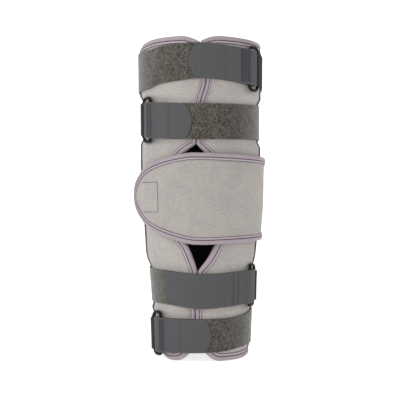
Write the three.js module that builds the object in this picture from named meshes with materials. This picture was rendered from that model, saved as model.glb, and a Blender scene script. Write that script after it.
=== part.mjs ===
// A knee immobilizer, closed as it is worn: a foam sleeve in three panels, bound with tape,
// held by four straps through rings, with a wide wrap over the kneecap cut-out.
//
// Millimetres, +Z up along the leg. The front of the knee faces -Y and the leg runs through the middle.
// Every piece is laid out on the sleeve by three numbers: the turn round the leg (0 at the front, positive
// toward +X), the height z, and how far it stands out from the sleeve's outer face.

import * as THREE from 'three';

// Driving dimensions
const overallHeight = 457;
const thighHalfWidth = 89;
const foamThickness = 6;
const tapeThickness = 1;
const bindingWidth = 8.5;
const wrapBindingWidth = 7;
const stripWidth = 31;
const stripTurn = 88;
const seamDepthTop = 9;
const seamDepthBottom = 28;
const cornerRunTop = 30;
const cornerRunBottom = 36;
const sideStep = 15;
const cutoutHalfWidth = 42;
const cutoutBottomGap = 1;
const cutoutTopGap = 6;
const leastRow = 1.5;

const strapWidth = 50;
const strapThickness = 2;
const hookTabThickness = 1.5;
const hookTabInset = 1;
const foldLength = 30;
const foldReach = 8;
const tabStepDown = 8;
const bottomMargin = 12.4;
const lowerStrapGap = 14.6;
const upperStrapGap = 33.7;
const topMargin = 10.4;
const squeezeDepth = 5;
const squeezeRun = 11;

const wireDiameter = 4.6;
const ringSpacing = 20;
const ringSideGap = 3;
const ringTabThickness = 1.5;
const ringTabLength = 28;
const ringTabShare = 0.9;

const wrapThickness = 3;
const wrapTopGap = 20.6;
const wrapBottomGap = 41;
const wrapRightTurn = 104;
const wrapTipTurn = -87;
const wrapTipLift = 5.6;
const wrapTipRise = 0.9;
const patchThickness = 1.6;
const patchHeight = 38;
const patchFrom = -69;
const patchTo = -47;

// Shift that brings the middle of the finished box over the origin
const centringX = 2.0;
const centringY = -0.6;

// Clearances between sewn layers, and of the webbing round a ring's wire
const clearance = 0.7;
const layerGap = 0.4;
const wireClearance = 0.9;

const tapeReach = clearance + tapeThickness;
const panelFloor = tapeReach;
const panelCeiling = overallHeight - tapeReach;
const overlay = tapeReach + 2 * layerGap;

// Outline of the sleeve at shares of the height: half width, front depth and back depth from the leg's axis,
// and how far the axis drifts to the right, as shares of thighHalfWidth
const bodySections = [
  { up: 0.0, side: 0.785, front: 0.745, back: 0.775, drift: 0.02 },
  { up: 0.14, side: 0.815, front: 0.764, back: 0.854, drift: 0.022 },
  { up: 0.28, side: 0.852, front: 0.81, back: 0.9, drift: 0.008 },
  { up: 0.34, side: 0.9, front: 0.854, back: 0.888, drift: 0.004 },
  { up: 0.5, side: 0.945, front: 0.933, back: 0.854, drift: 0 },
  { up: 0.63, side: 0.975, front: 0.933, back: 0.9, drift: -0.004 },
  { up: 0.83, side: 0.985, front: 0.955, back: 0.966, drift: -0.006 },
  { up: 1.0, side: 0.995, front: 0.966, back: 1.01, drift: -0.008 },
];

// How far the top edge drops and the bottom edge rises round the leg, as shares of sideStep
const edgeSections = [
  { turn: -180, drop: 0.2, rise: 0 },
  { turn: -140, drop: 0.4, rise: 0 },
  { turn: -90, drop: 0.6, rise: 0.95 },
  { turn: -64, drop: 0.15, rise: 0.65 },
  { turn: -42, drop: 0, rise: 0 },
  { turn: -26, drop: 0, rise: 0 },
  { turn: 22, drop: 0, rise: 0 },
  { turn: 45, drop: 0, rise: 0 },
  { turn: 90, drop: 0, rise: 0.15 },
  { turn: 140, drop: 0.1, rise: 0 },
  { turn: 180, drop: 0.2, rise: 0 },
];

// The front seam wanders a little, in degrees, at shares of the height
const seamSections = [
  { up: 0.0, turn: -5.5 },
  { up: 0.16, turn: -8 },
  { up: 0.28, turn: -4.2 },
  { up: 0.67, turn: -4.2 },
  { up: 0.79, turn: -0.5 },
  { up: 0.865, turn: 5 },
  { up: 1.0, turn: -0.8 },
];

// The kneecap cut-out, from its lower point to its upper one, as shares of cutoutHalfWidth
const cutoutSections = [
  { up: 0.0, left: 0.0, right: 0.0 },
  { up: 0.05, left: 0.05, right: 0.17 },
  { up: 0.1, left: 0.12, right: 0.34 },
  { up: 0.2, left: 0.3, right: 0.58 },
  { up: 0.27, left: 0.53, right: 0.75 },
  { up: 0.35, left: 0.72, right: 0.86 },
  { up: 0.52, left: 1.0, right: 1.0 },
  { up: 0.68, left: 0.97, right: 0.94 },
  { up: 0.77, left: 0.86, right: 0.77 },
  { up: 0.84, left: 0.7, right: 0.58 },
  { up: 0.885, left: 0.57, right: 0.44 },
  { up: 0.925, left: 0.42, right: 0.3 },
  { up: 0.945, left: 0.32, right: 0.22 },
  { up: 0.972, left: 0.17, right: 0.11 },
  { up: 1.0, left: 0.0, right: 0.0 },
];

// Straps from the bottom up: the side of the ring, the turn of the fold, the turn of the hook tab's end, how
// deep and how square its round end is, how hard the strap squeezes the foam, where the ring sits, whether the squeeze runs on
// to the lower or upper end, how long the fold is and where the tab starts on it (as shares of foldLength), and
// how the strap leans round the leg (shift and width, as shares of strapWidth)
const straps = [
  {
    number: 4, ringSide: -1, foldTurn: -60, tabEndTurn: 9.4, endDepth: 0.28, squeeze: 0.6, ringShift: 0.03, end: -1,
    fold: 1, tabStart: 0.1, endPower: 2,
    lean: [
      { turn: -180, shift: 0.05, width: 1 },
      { turn: -75, shift: -0.03, width: 1 },
      { turn: 0, shift: 0, width: 0.97 },
      { turn: 22, shift: 0.01, width: 0.95 },
      { turn: 48, shift: 0.065, width: 0.93 },
      { turn: 88, shift: 0.14, width: 1 },
      { turn: 180, shift: 0.05, width: 1 },
    ],
  },
  {
    number: 3, ringSide: 1, foldTurn: 70, tabEndTurn: -41, endDepth: 0.24, squeeze: 0.72, ringShift: 0.02, end: 0,
    fold: 1.4, tabStart: 0.9, endPower: 3,
    lean: [
      { turn: -180, shift: 0.05, width: 1 },
      { turn: -85, shift: 0.065, width: 1 },
      { turn: -43, shift: 0.05, width: 0.98 },
      { turn: 0, shift: -0.035, width: 1 },
      { turn: 24, shift: -0.015, width: 0.985 },
      { turn: 49, shift: 0.025, width: 0.97 },
      { turn: 90, shift: 0.05, width: 0.95 },
      { turn: 180, shift: 0.05, width: 1 },
    ],
  },
  {
    number: 2, ringSide: -1, foldTurn: -60, tabEndTurn: -8.5, endDepth: 0.28, squeeze: 1, ringShift: 0.0, end: 0,
    fold: 1, tabStart: 0.05, endPower: 2,
    lean: [
      { turn: -180, shift: 0.08, width: 1 },
      { turn: -88, shift: 0.16, width: 1.02 },
      { turn: -45, shift: 0.06, width: 1.02 },
      { turn: 0, shift: 0, width: 1 },
      { turn: 45, shift: 0.02, width: 1 },
      { turn: 85, shift: 0.06, width: 1.02 },
      { turn: 180, shift: 0.08, width: 1 },
    ],
  },
  {
    number: 1, ringSide: 1, foldTurn: 55, tabEndTurn: -9.6, endDepth: 0.29, squeeze: 0.16, ringShift: 0.0, end: 1,
    fold: 1, tabStart: 0.15, endPower: 2,
    lean: [
      { turn: -180, shift: -0.06, width: 1.04 },
      { turn: -80, shift: -0.155, width: 1.15 },
      { turn: -55, shift: -0.15, width: 1.11 },
      { turn: -38, shift: -0.075, width: 1.05 },
      { turn: -17, shift: -0.03, width: 1.03 },
      { turn: 0, shift: 0, width: 0.99 },
      { turn: 26, shift: -0.055, width: 0.99 },
      { turn: 47, shift: -0.125, width: 1 },
      { turn: 62, shift: -0.155, width: 1 },
      { turn: 105, shift: -0.14, width: 1 },
      { turn: 180, shift: -0.06, width: 1.04 },
    ],
  },
];

const degree = Math.PI / 180;

// Smooth curve through a table's rows, which never swings past them
function curve(rows, along, column, at) {
  let k = 0;
  while (k < rows.length - 2 && at > rows[k + 1][along]) k += 1;
  const rate = (i) => (rows[i + 1][column] - rows[i][column]) / (rows[i + 1][along] - rows[i][along]);
  const slope = (i) => {
    if (i === 0) return rate(0);
    if (i === rows.length - 1) return rate(i - 1);
    const [before, after] = [rate(i - 1), rate(i)];
    return before * after > 0 ? (2 * before * after) / (before + after) : 0;
  };
  const span = rows[k + 1][along] - rows[k][along];
  const t = THREE.MathUtils.clamp((at - rows[k][along]) / span, 0, 1);
  const rest = 1 - t;
  return rows[k][column] * (1 + 2 * t) * rest * rest
    + rows[k + 1][column] * (3 - 2 * t) * t * t
    + span * t * rest * (slope(k) * rest - slope(k + 1) * t);
}

function wrapTurn(turn) {
  return ((((turn + 180) % 360) + 360) % 360) - 180;
}

// Straps: heights worked out from the margins and gaps
const fourthMiddle = bottomMargin + strapWidth / 2;
const thirdMiddle = fourthMiddle + strapWidth + lowerStrapGap;
const firstMiddle = overallHeight - topMargin - strapWidth / 2;
const secondMiddle = firstMiddle - strapWidth - upperStrapGap;
[fourthMiddle, thirdMiddle, secondMiddle, firstMiddle].forEach((middle, k) => {
  straps[k].middle = middle;
});

function strapMiddle(strap, turn) {
  return strap.middle + strapWidth * curve(strap.lean, 'turn', 'shift', wrapTurn(turn));
}

function strapHalfWidth(strap, turn) {
  return (strapWidth / 2) * curve(strap.lean, 'turn', 'width', wrapTurn(turn));
}

// How far the straps press the foam in at a point
function squeezeAt(turn, z) {
  let deep = 0;
  for (const strap of straps) {
    const above = z - strapMiddle(strap, turn);
    const beyond = above * strap.end > 0 ? 0 : Math.abs(above) - strapHalfWidth(strap, turn);
    const ease = 1 - THREE.MathUtils.smoothstep(beyond, 0, squeezeRun);
    deep = Math.max(deep, squeezeDepth * strap.squeeze * ease);
  }
  return deep;
}

function looseSection(z, squeezed = 0) {
  const up = z / overallHeight;
  const side = thighHalfWidth * curve(bodySections, 'up', 'side', up) - squeezed;
  const front = thighHalfWidth * curve(bodySections, 'up', 'front', up) - squeezed;
  const back = thighHalfWidth * curve(bodySections, 'up', 'back', up) - squeezed;
  const drift = thighHalfWidth * curve(bodySections, 'up', 'drift', up);
  return { side, depth: (front + back) / 2, shift: (back - front) / 2, drift };
}

// The sleeve runs straight between the panels' rows of points, so every piece on it follows the same surface
function sectionAt(turn, z) {
  const heights = rowHeights(turn);
  if (z <= heights[0] || z >= heights[heights.length - 1]) return looseSection(z, squeezeAt(turn, z));
  const k = heights.findIndex((height) => height > z) - 1;
  const [low, high] = [heights[k], heights[k + 1]].map((height) => looseSection(height, squeezeAt(turn, height)));
  const share = (z - heights[k]) / (heights[k + 1] - heights[k]);
  return {
    side: THREE.MathUtils.lerp(low.side, high.side, share),
    depth: THREE.MathUtils.lerp(low.depth, high.depth, share),
    shift: THREE.MathUtils.lerp(low.shift, high.shift, share),
    drift: THREE.MathUtils.lerp(low.drift, high.drift, share),
  };
}

// A point on or off the sleeve's outer face
function place({ turn, z, out }) {
  const { side, depth, shift, drift } = sectionAt(turn, z);
  const angle = turn * degree;
  return new THREE.Vector3(drift + (side + out) * Math.sin(angle), shift - (depth + out) * Math.cos(angle), z);
}

// Degrees of turn that a length in millimetres takes up at a height
function turnOf(length, z, out = 0) {
  const { side, depth } = looseSection(z);
  return length / ((side + depth) / 2 + out) / degree;
}

// One closed mesh from its points and triangles, faces out
function closedMesh(name, material, points, triangles) {
  let volume = 0;
  for (const [a, b, c] of triangles) {
    volume += points[a].dot(new THREE.Vector3().crossVectors(points[b], points[c]));
  }
  const facing = volume < 0 ? triangles.map(([a, b, c]) => [a, c, b]) : triangles;
  const geometry = new THREE.BufferGeometry();
  geometry.setAttribute('position', new THREE.Float32BufferAttribute(points.flatMap((p) => p.toArray()), 3));
  geometry.setIndex(facing.flat());
  geometry.computeVertexNormals();
  const mesh = new THREE.Mesh(geometry, material);
  mesh.name = name;
  return mesh;
}

// A sheet with thickness: at(i, j, outer) gives the points of its two faces on one grid
function sheet(name, material, columns, rows, at) {
  const points = [];
  const triangles = [];
  const index = (i, j, outer) => (outer ? 0 : (columns + 1) * (rows + 1)) + j * (columns + 1) + i;
  for (const outer of [true, false]) {
    for (let j = 0; j <= rows; j += 1) {
      for (let i = 0; i <= columns; i += 1) points.push(place(at(i, j, outer)));
    }
  }
  const quad = (a, b, c, d) => triangles.push([a, b, c], [a, c, d]);
  for (let j = 0; j < rows; j += 1) {
    for (let i = 0; i < columns; i += 1) {
      quad(index(i, j, true), index(i + 1, j, true), index(i + 1, j + 1, true), index(i, j + 1, true));
      quad(index(i, j, false), index(i, j + 1, false), index(i + 1, j + 1, false), index(i + 1, j, false));
    }
  }
  const wall = (i, j, p, q) => quad(index(i, j, true), index(i, j, false), index(p, q, false), index(p, q, true));
  for (let i = 0; i < columns; i += 1) {
    wall(i, 0, i + 1, 0);
    wall(i + 1, rows, i, rows);
  }
  for (let j = 0; j < rows; j += 1) {
    wall(columns, j, columns, j + 1);
    wall(0, j + 1, 0, j);
  }
  return closedMesh(name, material, points, triangles);
}

// A bar through a list of sections, each with the same number of points; closed sections, capped ends
function bar(name, material, sections, looped = false) {
  const count = sections[0].length;
  const points = sections.flat();
  const triangles = [];
  const last = looped ? sections.length : sections.length - 1;
  for (let i = 0; i < last; i += 1) {
    const next = (i + 1) % sections.length;
    for (let k = 0; k < count; k += 1) {
      const turn = (k + 1) % count;
      const [a, b, c, d] = [i * count + k, i * count + turn, next * count + turn, next * count + k];
      triangles.push([a, b, c], [a, c, d]);
    }
  }
  if (!looped) {
    const capped = capTriangles(count);
    const start = (sections.length - 1) * count;
    for (const [a, b, c] of capped) {
      triangles.push([a, c, b], [start + a, start + b, start + c]);
    }
  }
  return closedMesh(name, material, points, triangles);
}

// The end of a folded tape is a U of eight points; every other end is a simple polygon
function capTriangles(count) {
  if (count === 8) return [[0, 1, 6], [0, 6, 7], [1, 2, 5], [1, 5, 6], [2, 3, 4], [2, 4, 5]];
  const fan = [];
  for (let k = 1; k < count - 1; k += 1) fan.push([0, k, k + 1]);
  return fan;
}

const finishes = {
  foam: new THREE.MeshStandardMaterial({ color: 0xb0aaa5, roughness: 0.95, metalness: 0 }),
  tape: new THREE.MeshStandardMaterial({ color: 0xb3a6ac, roughness: 0.8, metalness: 0 }),
  pile: new THREE.MeshStandardMaterial({ color: 0x54514d, roughness: 0.98, metalness: 0 }),
  hook: new THREE.MeshStandardMaterial({ color: 0x5b5c5e, roughness: 0.7, metalness: 0 }),
  strip: new THREE.MeshStandardMaterial({ color: 0x5e5c59, roughness: 0.9, metalness: 0 }),
  webbing: new THREE.MeshStandardMaterial({ color: 0x3a3a3a, roughness: 0.85, metalness: 0 }),
  ring: new THREE.MeshStandardMaterial({ color: 0x161617, roughness: 0.45, metalness: 0 }),
};

const immobilizer = new THREE.Group();

// The sleeve's edges
function seamTurnAt(z) {
  return curve(seamSections, 'up', 'turn', z / overallHeight);
}

function cornerEase(turn, z, run) {
  const beside = Math.abs(turn - seamTurnAt(z)) / turnOf(run, z);
  return Math.max(0, 1 - beside) ** 2;
}

function topEdge(turn) {
  const drop = sideStep * curve(edgeSections, 'turn', 'drop', wrapTurn(turn));
  return panelCeiling - drop - seamDepthTop * cornerEase(wrapTurn(turn), panelCeiling, cornerRunTop);
}

function bottomEdge(turn) {
  const rise = sideStep * curve(edgeSections, 'turn', 'rise', wrapTurn(turn));
  return panelFloor + rise + seamDepthBottom * cornerEase(wrapTurn(turn), panelFloor, cornerRunBottom);
}

// The kneecap cut-out lies between the second and third straps
const cutoutFloor = thirdMiddle + strapWidth / 2 + cutoutBottomGap;
const cutoutCeiling = secondMiddle - strapWidth / 2 - cutoutTopGap;
const panelEdgeGap = tapeReach + layerGap / 2;

function frontEdgeTurn(side, z) {
  const up = THREE.MathUtils.clamp((z - cutoutFloor) / (cutoutCeiling - cutoutFloor), 0, 1);
  const reach = cutoutHalfWidth * curve(cutoutSections, 'up', side < 0 ? 'left' : 'right', up);
  return seamTurnAt(z) + side * turnOf(panelEdgeGap + reach, z);
}

// Heights of the panels' rows of points, so that they follow the straps and the cut-out
function rowHeights(turn) {
  const heights = [bottomEdge(turn)];
  const [fourth, third, second, first] = straps.map((strap) => ({
    low: strapMiddle(strap, turn) - strapHalfWidth(strap, turn),
    high: strapMiddle(strap, turn) + strapHalfWidth(strap, turn),
  }));
  heights.push(fourth.low, fourth.high, (fourth.high + third.low) / 2, third.low, third.high);
  for (const { up } of cutoutSections) heights.push(THREE.MathUtils.lerp(cutoutFloor, cutoutCeiling, up));
  heights.push(second.low, second.high, (second.high + first.low) / 2, first.low, first.high, topEdge(turn));
  for (let k = 1; k < heights.length; k += 1) heights[k] = Math.max(heights[k], heights[k - 1] + leastRow);
  for (let k = heights.length - 1; k > 0; k -= 1) {
    const ceiling = k === heights.length - 1 ? topEdge(turn) : heights[k + 1] - leastRow;
    heights[k] = Math.min(heights[k], ceiling);
  }
  return heights;
}

// Front panels, from the seam and cut-out to the side strips
const columnShares = [0, 0.035, 0.08, 0.15, 0.24, 0.36, 0.52, 0.68, 0.84, 1];
const sideSeamGap = turnOf(layerGap / 2, overallHeight / 2);
const rowCount = rowHeights(0).length - 1;

function frontPanelPoint(side, i, j) {
  const seamRow = rowHeights(seamTurnAt(overallHeight * (j / rowCount)))[j];
  const edge = frontEdgeTurn(side, seamRow);
  const turn = THREE.MathUtils.lerp(edge, side * (stripTurn - sideSeamGap), columnShares[i]);
  return { turn, z: rowHeights(turn)[j] };
}

function frontPanel(name, side) {
  const columns = columnShares.length - 1;
  return sheet(name, finishes.foam, columns, rowCount, (i, j, outer) => ({
    ...frontPanelPoint(side, i, j),
    out: outer ? 0 : -foamThickness,
  }));
}

// Back panel, from side strip to side strip
const backColumns = 12;

function backPanelPoint(i, j) {
  const turn = THREE.MathUtils.lerp(stripTurn + sideSeamGap, 360 - stripTurn - sideSeamGap, i / backColumns);
  return { turn, z: rowHeights(turn)[j] };
}

function backPanel() {
  return sheet('panel_back', finishes.foam, backColumns, rowCount, (i, j, outer) => ({
    ...backPanelPoint(i, j),
    out: outer ? 0 : -foamThickness,
  }));
}

// Folded tape along an edge: path points with turn and z, the wall to their right when inward is 1. A point
// that keeps its z or its turn across the tape stays on the wall's own row or column of points
const maxMitre = 1.2;

function foldedTape(name, path, inward, width, wall, innerFace) {
  const section = [
    [width, wall + tapeReach],
    [-tapeReach, wall + tapeReach],
    [-tapeReach, -tapeReach],
    [width, -tapeReach],
    [width, -clearance],
    [-clearance, -clearance],
    [-clearance, wall + clearance],
    [width, wall + clearance],
  ];
  const flat = path.map(({ turn, z }) => new THREE.Vector2(turn / turnOf(1, z), z));
  const heading = (a, b) => flat[b].clone().sub(flat[a]).normalize();
  const sections = path.map(({ turn, z, keep }, i) => {
    const before = heading(Math.max(i - 1, 0), Math.max(i, 1));
    const after = heading(Math.min(i, path.length - 2), Math.min(i + 1, path.length - 1));
    const middle = before.clone().add(after).normalize();
    const mitre = keep ? 1 : Math.min(1 / Math.max(middle.dot(after), 0.5), maxMitre);
    const across = new THREE.Vector2(middle.y, -middle.x).multiplyScalar(inward * mitre);
    if (keep === 'z') across.set(Math.sign(across.x) * Math.min(1 / Math.abs(across.x), maxMitre), 0);
    if (keep === 'turn') across.set(0, Math.sign(across.y) * Math.min(1 / Math.abs(across.y), maxMitre));
    return section.map(([deep, high]) => {
      const pointTurn = turn + turnOf(deep * across.x, z);
      return place({ turn: pointTurn, z: z + deep * across.y, out: innerFace(pointTurn) + high });
    });
  });
  return bar(name, finishes.tape, sections);
}

function frontBinding(name, side) {
  const columns = columnShares.length - 1;
  const path = [];
  for (let i = columns; i > 0; i -= 1) path.push({ ...frontPanelPoint(side, i, rowCount), keep: 'turn' });
  path.push(frontPanelPoint(side, 0, rowCount));
  for (let j = rowCount - 1; j > 0; j -= 1) path.push({ ...frontPanelPoint(side, 0, j), keep: 'z' });
  path.push(frontPanelPoint(side, 0, 0));
  for (let i = 1; i <= columns; i += 1) path.push({ ...frontPanelPoint(side, i, 0), keep: 'turn' });
  return foldedTape(name, path, -side, bindingWidth, foamThickness, () => -foamThickness);
}

function backBinding(name, row, inward) {
  const path = [];
  for (let i = 0; i <= backColumns; i += 1) path.push({ ...backPanelPoint(i, row), keep: 'turn' });
  return foldedTape(name, path, inward, bindingWidth, foamThickness, () => -foamThickness);
}

// Textile strips over the side seams, ending at the edge tape
function sideStrip(name, side) {
  const middle = side * stripTurn;
  const half = turnOf(stripWidth / 2, overallHeight / 2);
  const endGap = bindingWidth + layerGap;
  return sheet(name, finishes.strip, 2, rowCount, (i, j, outer) => {
    const turn = middle + half * (i - 1);
    const heights = rowHeights(turn);
    const z = THREE.MathUtils.clamp(heights[j], heights[0] + endGap, heights[rowCount] - endGap);
    const spread = THREE.MathUtils.lerp(heights[0] + endGap, heights[rowCount] - endGap, j / rowCount);
    const tied = j === 0 || j === rowCount ? spread : z;
    return { turn, z: tied, out: outer ? tapeReach : clearance };
  });
}

// Stations along a strap, counted back from the ring's front bar in millimetres
const foldShares = [0, 0.2, 0.45, 0.65, 1];
const stationStep = 15;
const bendSteps = 6;
const bandLow = overlay + strapThickness / 2;
const wireRadius = wireDiameter / 2;
const bandTurnRadius = wireRadius + wireClearance + strapThickness / 2;
const barLift = bandLow + bandTurnRadius;
const doubledLift = bandLow + strapThickness + layerGap;

// How high the folded-back layer lies, from the ring to its end
const foldRise = [
  { back: 0, high: 1 },
  { back: 0.2, high: 0.82 },
  { back: 0.45, high: 0.28 },
  { back: 0.65, high: 0.05 },
  { back: 1, high: 0 },
];

function foldedLift(back) {
  const share = THREE.MathUtils.clamp(back / foldLength, 0, 1);
  return doubledLift + (barLift + bandTurnRadius - doubledLift) * curve(foldRise, 'back', 'high', share);
}

function ringFrame(strap) {
  const { ringSide: side, foldTurn } = strap;
  const z = strapMiddle(strap, foldTurn) + strap.ringShift * strapWidth;
  const turnPerMm = turnOf(1, z, barLift);
  const foldReachFull = foldReach + bandTurnRadius + strapThickness / 2;
  const frontTurn = foldTurn - side * foldReachFull * turnPerMm;
  const rearTurn = frontTurn + side * ringSpacing * turnPerMm;
  return { side, z, turnPerMm, frontTurn, rearTurn };
}

// A ribbon along stations (turn and lift of its middle line), with its two faces and its two edges
function ribbon(name, material, strap, stations, thickness) {
  const sections = stations.map((station, i) => {
    const before = stations[Math.max(i - 1, 0)];
    const after = stations[Math.min(i + 1, stations.length - 1)];
    const perMm = ringFrame(strap).turnPerMm;
    const run = new THREE.Vector2((after.turn - before.turn) / perMm, after.lift - before.lift).normalize();
    const half = strapHalfWidth(strap, station.turn) * station.width - station.inset;
    const middle = strapMiddle(strap, station.turn);
    const corner = (face, edge) => {
      const shift = (face * thickness) / 2;
      return place({
        turn: station.turn - run.y * shift * perMm,
        z: middle + edge * half,
        out: station.lift + run.x * shift,
      });
    };
    return [corner(-1, -1), corner(1, -1), corner(1, 1), corner(-1, 1)];
  });
  return bar(name, material, sections);
}

function stationBacks(length) {
  const backs = foldShares.map((share) => share * foldLength);
  while (backs[backs.length - 1] + stationStep < length) backs.push(backs[backs.length - 1] + stationStep);
  return backs;
}

// Pile band: from the side behind the ring, round the back and the front, through the ring and back on itself
function strapBand(strap) {
  const { side, turnPerMm, frontTurn, rearTurn } = ringFrame(strap);
  const sewnTurn = rearTurn + side * (ringTabLength + layerGap * 2) * turnPerMm;
  const full = (360 - Math.abs(sewnTurn - frontTurn)) / turnPerMm;
  const station = (turn, lift) => ({ turn, lift, width: 1, inset: 0 });
  const low = stationBacks(full).map((back) => station(frontTurn - side * back * turnPerMm, bandLow));
  low.push(station(frontTurn - side * full * turnPerMm, bandLow));
  low.reverse();
  const turned = [];
  for (let k = 0; k <= bendSteps; k += 1) {
    const angle = (k / bendSteps) * Math.PI - Math.PI / 2;
    const ahead = foldReach + bandTurnRadius * Math.cos(angle);
    turned.push(station(frontTurn + side * ahead * turnPerMm, barLift + bandTurnRadius * Math.sin(angle)));
  }
  const high = stationBacks(foldLength * strap.fold)
    .map((back) => station(frontTurn - side * back * turnPerMm, foldedLift(back)));
  if (strap.fold > 1) high.push(station(frontTurn - side * foldLength * strap.fold * turnPerMm, doubledLift));
  return ribbon(`strap_${strap.number}`, finishes.pile, strap, [...low, ...turned, ...high], strapThickness);
}

// Hook tab: stitched on the folded end, then lying on the band, with a rounded end
const tabEndAngles = [0, 25, 45, 62, 76];

function hookTab(strap) {
  const { side, turnPerMm, frontTurn } = ringFrame(strap);
  const onFold = strapThickness / 2 + layerGap + hookTabThickness / 2;
  const length = Math.abs(frontTurn - strap.tabEndTurn) / turnPerMm;
  const endDepth = strap.endDepth * strapWidth;
  const foldEnd = foldLength * strap.fold + strapThickness;
  const start = foldLength * strap.tabStart;
  const liftAt = (back) => {
    const stepDown = strapThickness + layerGap;
    const beyond = THREE.MathUtils.clamp((back - foldEnd) / tabStepDown, 0, 1);
    return foldedLift(back) + onFold - stepDown * beyond;
  };
  const backs = [start];
  for (const back of stationBacks(length - endDepth)) if (back > start + hookTabInset) backs.push(back);
  backs.push(foldEnd, foldEnd + tabStepDown);
  const round = tabEndAngles.map((angle) => length - endDepth * (1 - Math.sin(angle * degree)));
  const all = [...backs, ...round].sort((a, b) => a - b);
  const kept = all.filter((back, k) => k === 0 || back - all[k - 1] > 1e-6);
  const stations = kept.map((back) => {
    const share = THREE.MathUtils.clamp((back - length + endDepth) / endDepth, 0, 1);
    const width = (1 - share ** strap.endPower) ** (1 / strap.endPower);
    return { turn: frontTurn - side * back * turnPerMm, lift: liftAt(back), width, inset: hookTabInset * width };
  });
  return ribbon(`hook_tab_${strap.number}`, finishes.hook, strap, stations, hookTabThickness);
}

// Ring: a round wire bent to a rounded rectangle, lying flat on the side
function ring(strap) {
  const { z, frontTurn, rearTurn } = ringFrame(strap);
  const level = strapMiddle(strap, frontTurn);
  const reach = strapHalfWidth(strap, frontTurn) * ringTabShare;
  const [above, below] = [reach, -reach].map((rise) => [frontTurn, rearTurn].map(
    (turn) => place({ turn, z: level + rise, out: barLift }),
  ));
  const upright = above[0].clone().add(above[1]).sub(below[0]).sub(below[1]);
  const raise = new THREE.Vector3(0, 0, z - level);
  const front = above[0].clone().add(below[0]).multiplyScalar(0.5).add(raise);
  const rear = above[1].clone().add(below[1]).multiplyScalar(0.5).add(raise);
  const across = rear.clone().sub(front);
  const halfAcross = across.length() / 2;
  across.normalize();
  const facing = new THREE.Vector3().crossVectors(across, upright).normalize();
  const upward = new THREE.Vector3().crossVectors(facing, across);
  const halfUp = strapHalfWidth(strap, frontTurn) + ringSideGap + wireRadius;
  const corner = Math.min(halfAcross * 0.7, halfUp / 2);
  const sides = 6;
  const sections = [];
  for (const [sx, sy, first] of [[1, 1, 0], [-1, 1, 90], [-1, -1, 180], [1, -1, 270]]) {
    for (const swing of [0, 30, 60, 90]) {
      const angle = (first + swing) * degree;
      const outward = new THREE.Vector3(Math.cos(angle), Math.sin(angle), 0);
      const centre = new THREE.Vector3(sx * (halfAcross - corner), sy * (halfUp - corner), 0);
      centre.addScaledVector(outward, corner);
      const section = [];
      for (let k = 0; k < sides; k += 1) {
        const round = (k / sides) * 2 * Math.PI;
        section.push(centre.clone().addScaledVector(outward, wireRadius * Math.cos(round))
          .add(new THREE.Vector3(0, 0, wireRadius * Math.sin(round))));
      }
      sections.push(section);
    }
  }
  const mesh = bar(`ring_${strap.number}`, finishes.ring, sections, true);
  mesh.quaternion.setFromRotationMatrix(new THREE.Matrix4().makeBasis(across, upward, facing));
  mesh.position.copy(front).add(rear).multiplyScalar(0.5);
  return mesh;
}

// Ring tab: a webbing loop round the ring's rear bar, both ends sewn on the side
function ringTab(strap) {
  const { side, turnPerMm, rearTurn } = ringFrame(strap);
  const low = overlay + ringTabThickness / 2;
  const radius = wireRadius + wireClearance + ringTabThickness / 2;
  const high = low + ringTabThickness + layerGap;
  const station = (ahead, lift) => ({ turn: rearTurn + side * ahead * turnPerMm, lift, width: ringTabShare, inset: 0 });
  const stations = [station(ringTabLength, low), station(ringTabLength / 2, low), station(ringTabLength / 7, low)];
  for (let k = 0; k <= bendSteps; k += 1) {
    const angle = -Math.PI / 2 - (k / bendSteps) * Math.PI;
    stations.push(station(radius * Math.cos(angle), barLift + radius * Math.sin(angle)));
  }
  const top = barLift + radius;
  stations.push(station(ringTabLength / 7, high + (top - high) * 0.8));
  stations.push(station(ringTabLength / 3, high + (top - high) * 0.22));
  stations.push(station(ringTabLength / 2, high), station(ringTabLength, high));
  return ribbon(`ring_tab_${strap.number}`, finishes.webbing, strap, stations, ringTabThickness);
}

// Knee wrap: fixed on the right, over the cut-out, to a tapered tip on the left
const wrapFloor = thirdMiddle + strapWidth / 2 + wrapBottomGap;
const wrapCeiling = secondMiddle - strapWidth / 2 - wrapTopGap;
const wrapMiddle = (wrapFloor + wrapCeiling) / 2;
const wrapHalf = (wrapCeiling - wrapFloor) / 2;
const wrapBase = 2 * tapeReach + 2.5 * layerGap;
const taperTurn = 80;
const taperPower = 1.25;
const narrowFrom = 5;
const narrowShare = 0.08;
const tipStart = 0.012;
const columnPower = 1.7;
const columnsInTaper = 8;
const columnsOnward = 9;
const wrapRows = 4;
const liftColumns = 3;

function wrapHalfHeight(turn) {
  const run = THREE.MathUtils.clamp((turn - wrapTipTurn) / taperTurn, 0, 1);
  const onward = THREE.MathUtils.clamp((turn - narrowFrom) / (wrapRightTurn - narrowFrom), 0, 1);
  return wrapHalf * Math.sqrt(1 - (1 - run) ** taperPower) * (1 - narrowShare * onward);
}

function wrapColumnTurn(i) {
  const taperEnd = wrapTipTurn + taperTurn;
  if (i <= columnsInTaper) {
    const share = tipStart + (1 - tipStart) * (i / columnsInTaper) ** columnPower;
    return THREE.MathUtils.lerp(wrapTipTurn, taperEnd, share);
  }
  return THREE.MathUtils.lerp(taperEnd, wrapRightTurn, (i - columnsInTaper) / columnsOnward);
}

function wrapLift(turn) {
  const liftStart = wrapColumnTurn(liftColumns);
  const run = THREE.MathUtils.clamp((liftStart - turn) / (liftStart - wrapTipTurn), 0, 1);
  return wrapBase + wrapTipLift * run;
}

function wrapPoint(i, j) {
  const turn = wrapColumnTurn(i);
  const share = (2 * j) / wrapRows - 1;
  const tipRise = wrapTipRise * THREE.MathUtils.clamp(-turn / 20, 0, 3);
  return { turn, z: wrapMiddle + tipRise + wrapHalfHeight(turn) * share };
}

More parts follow.
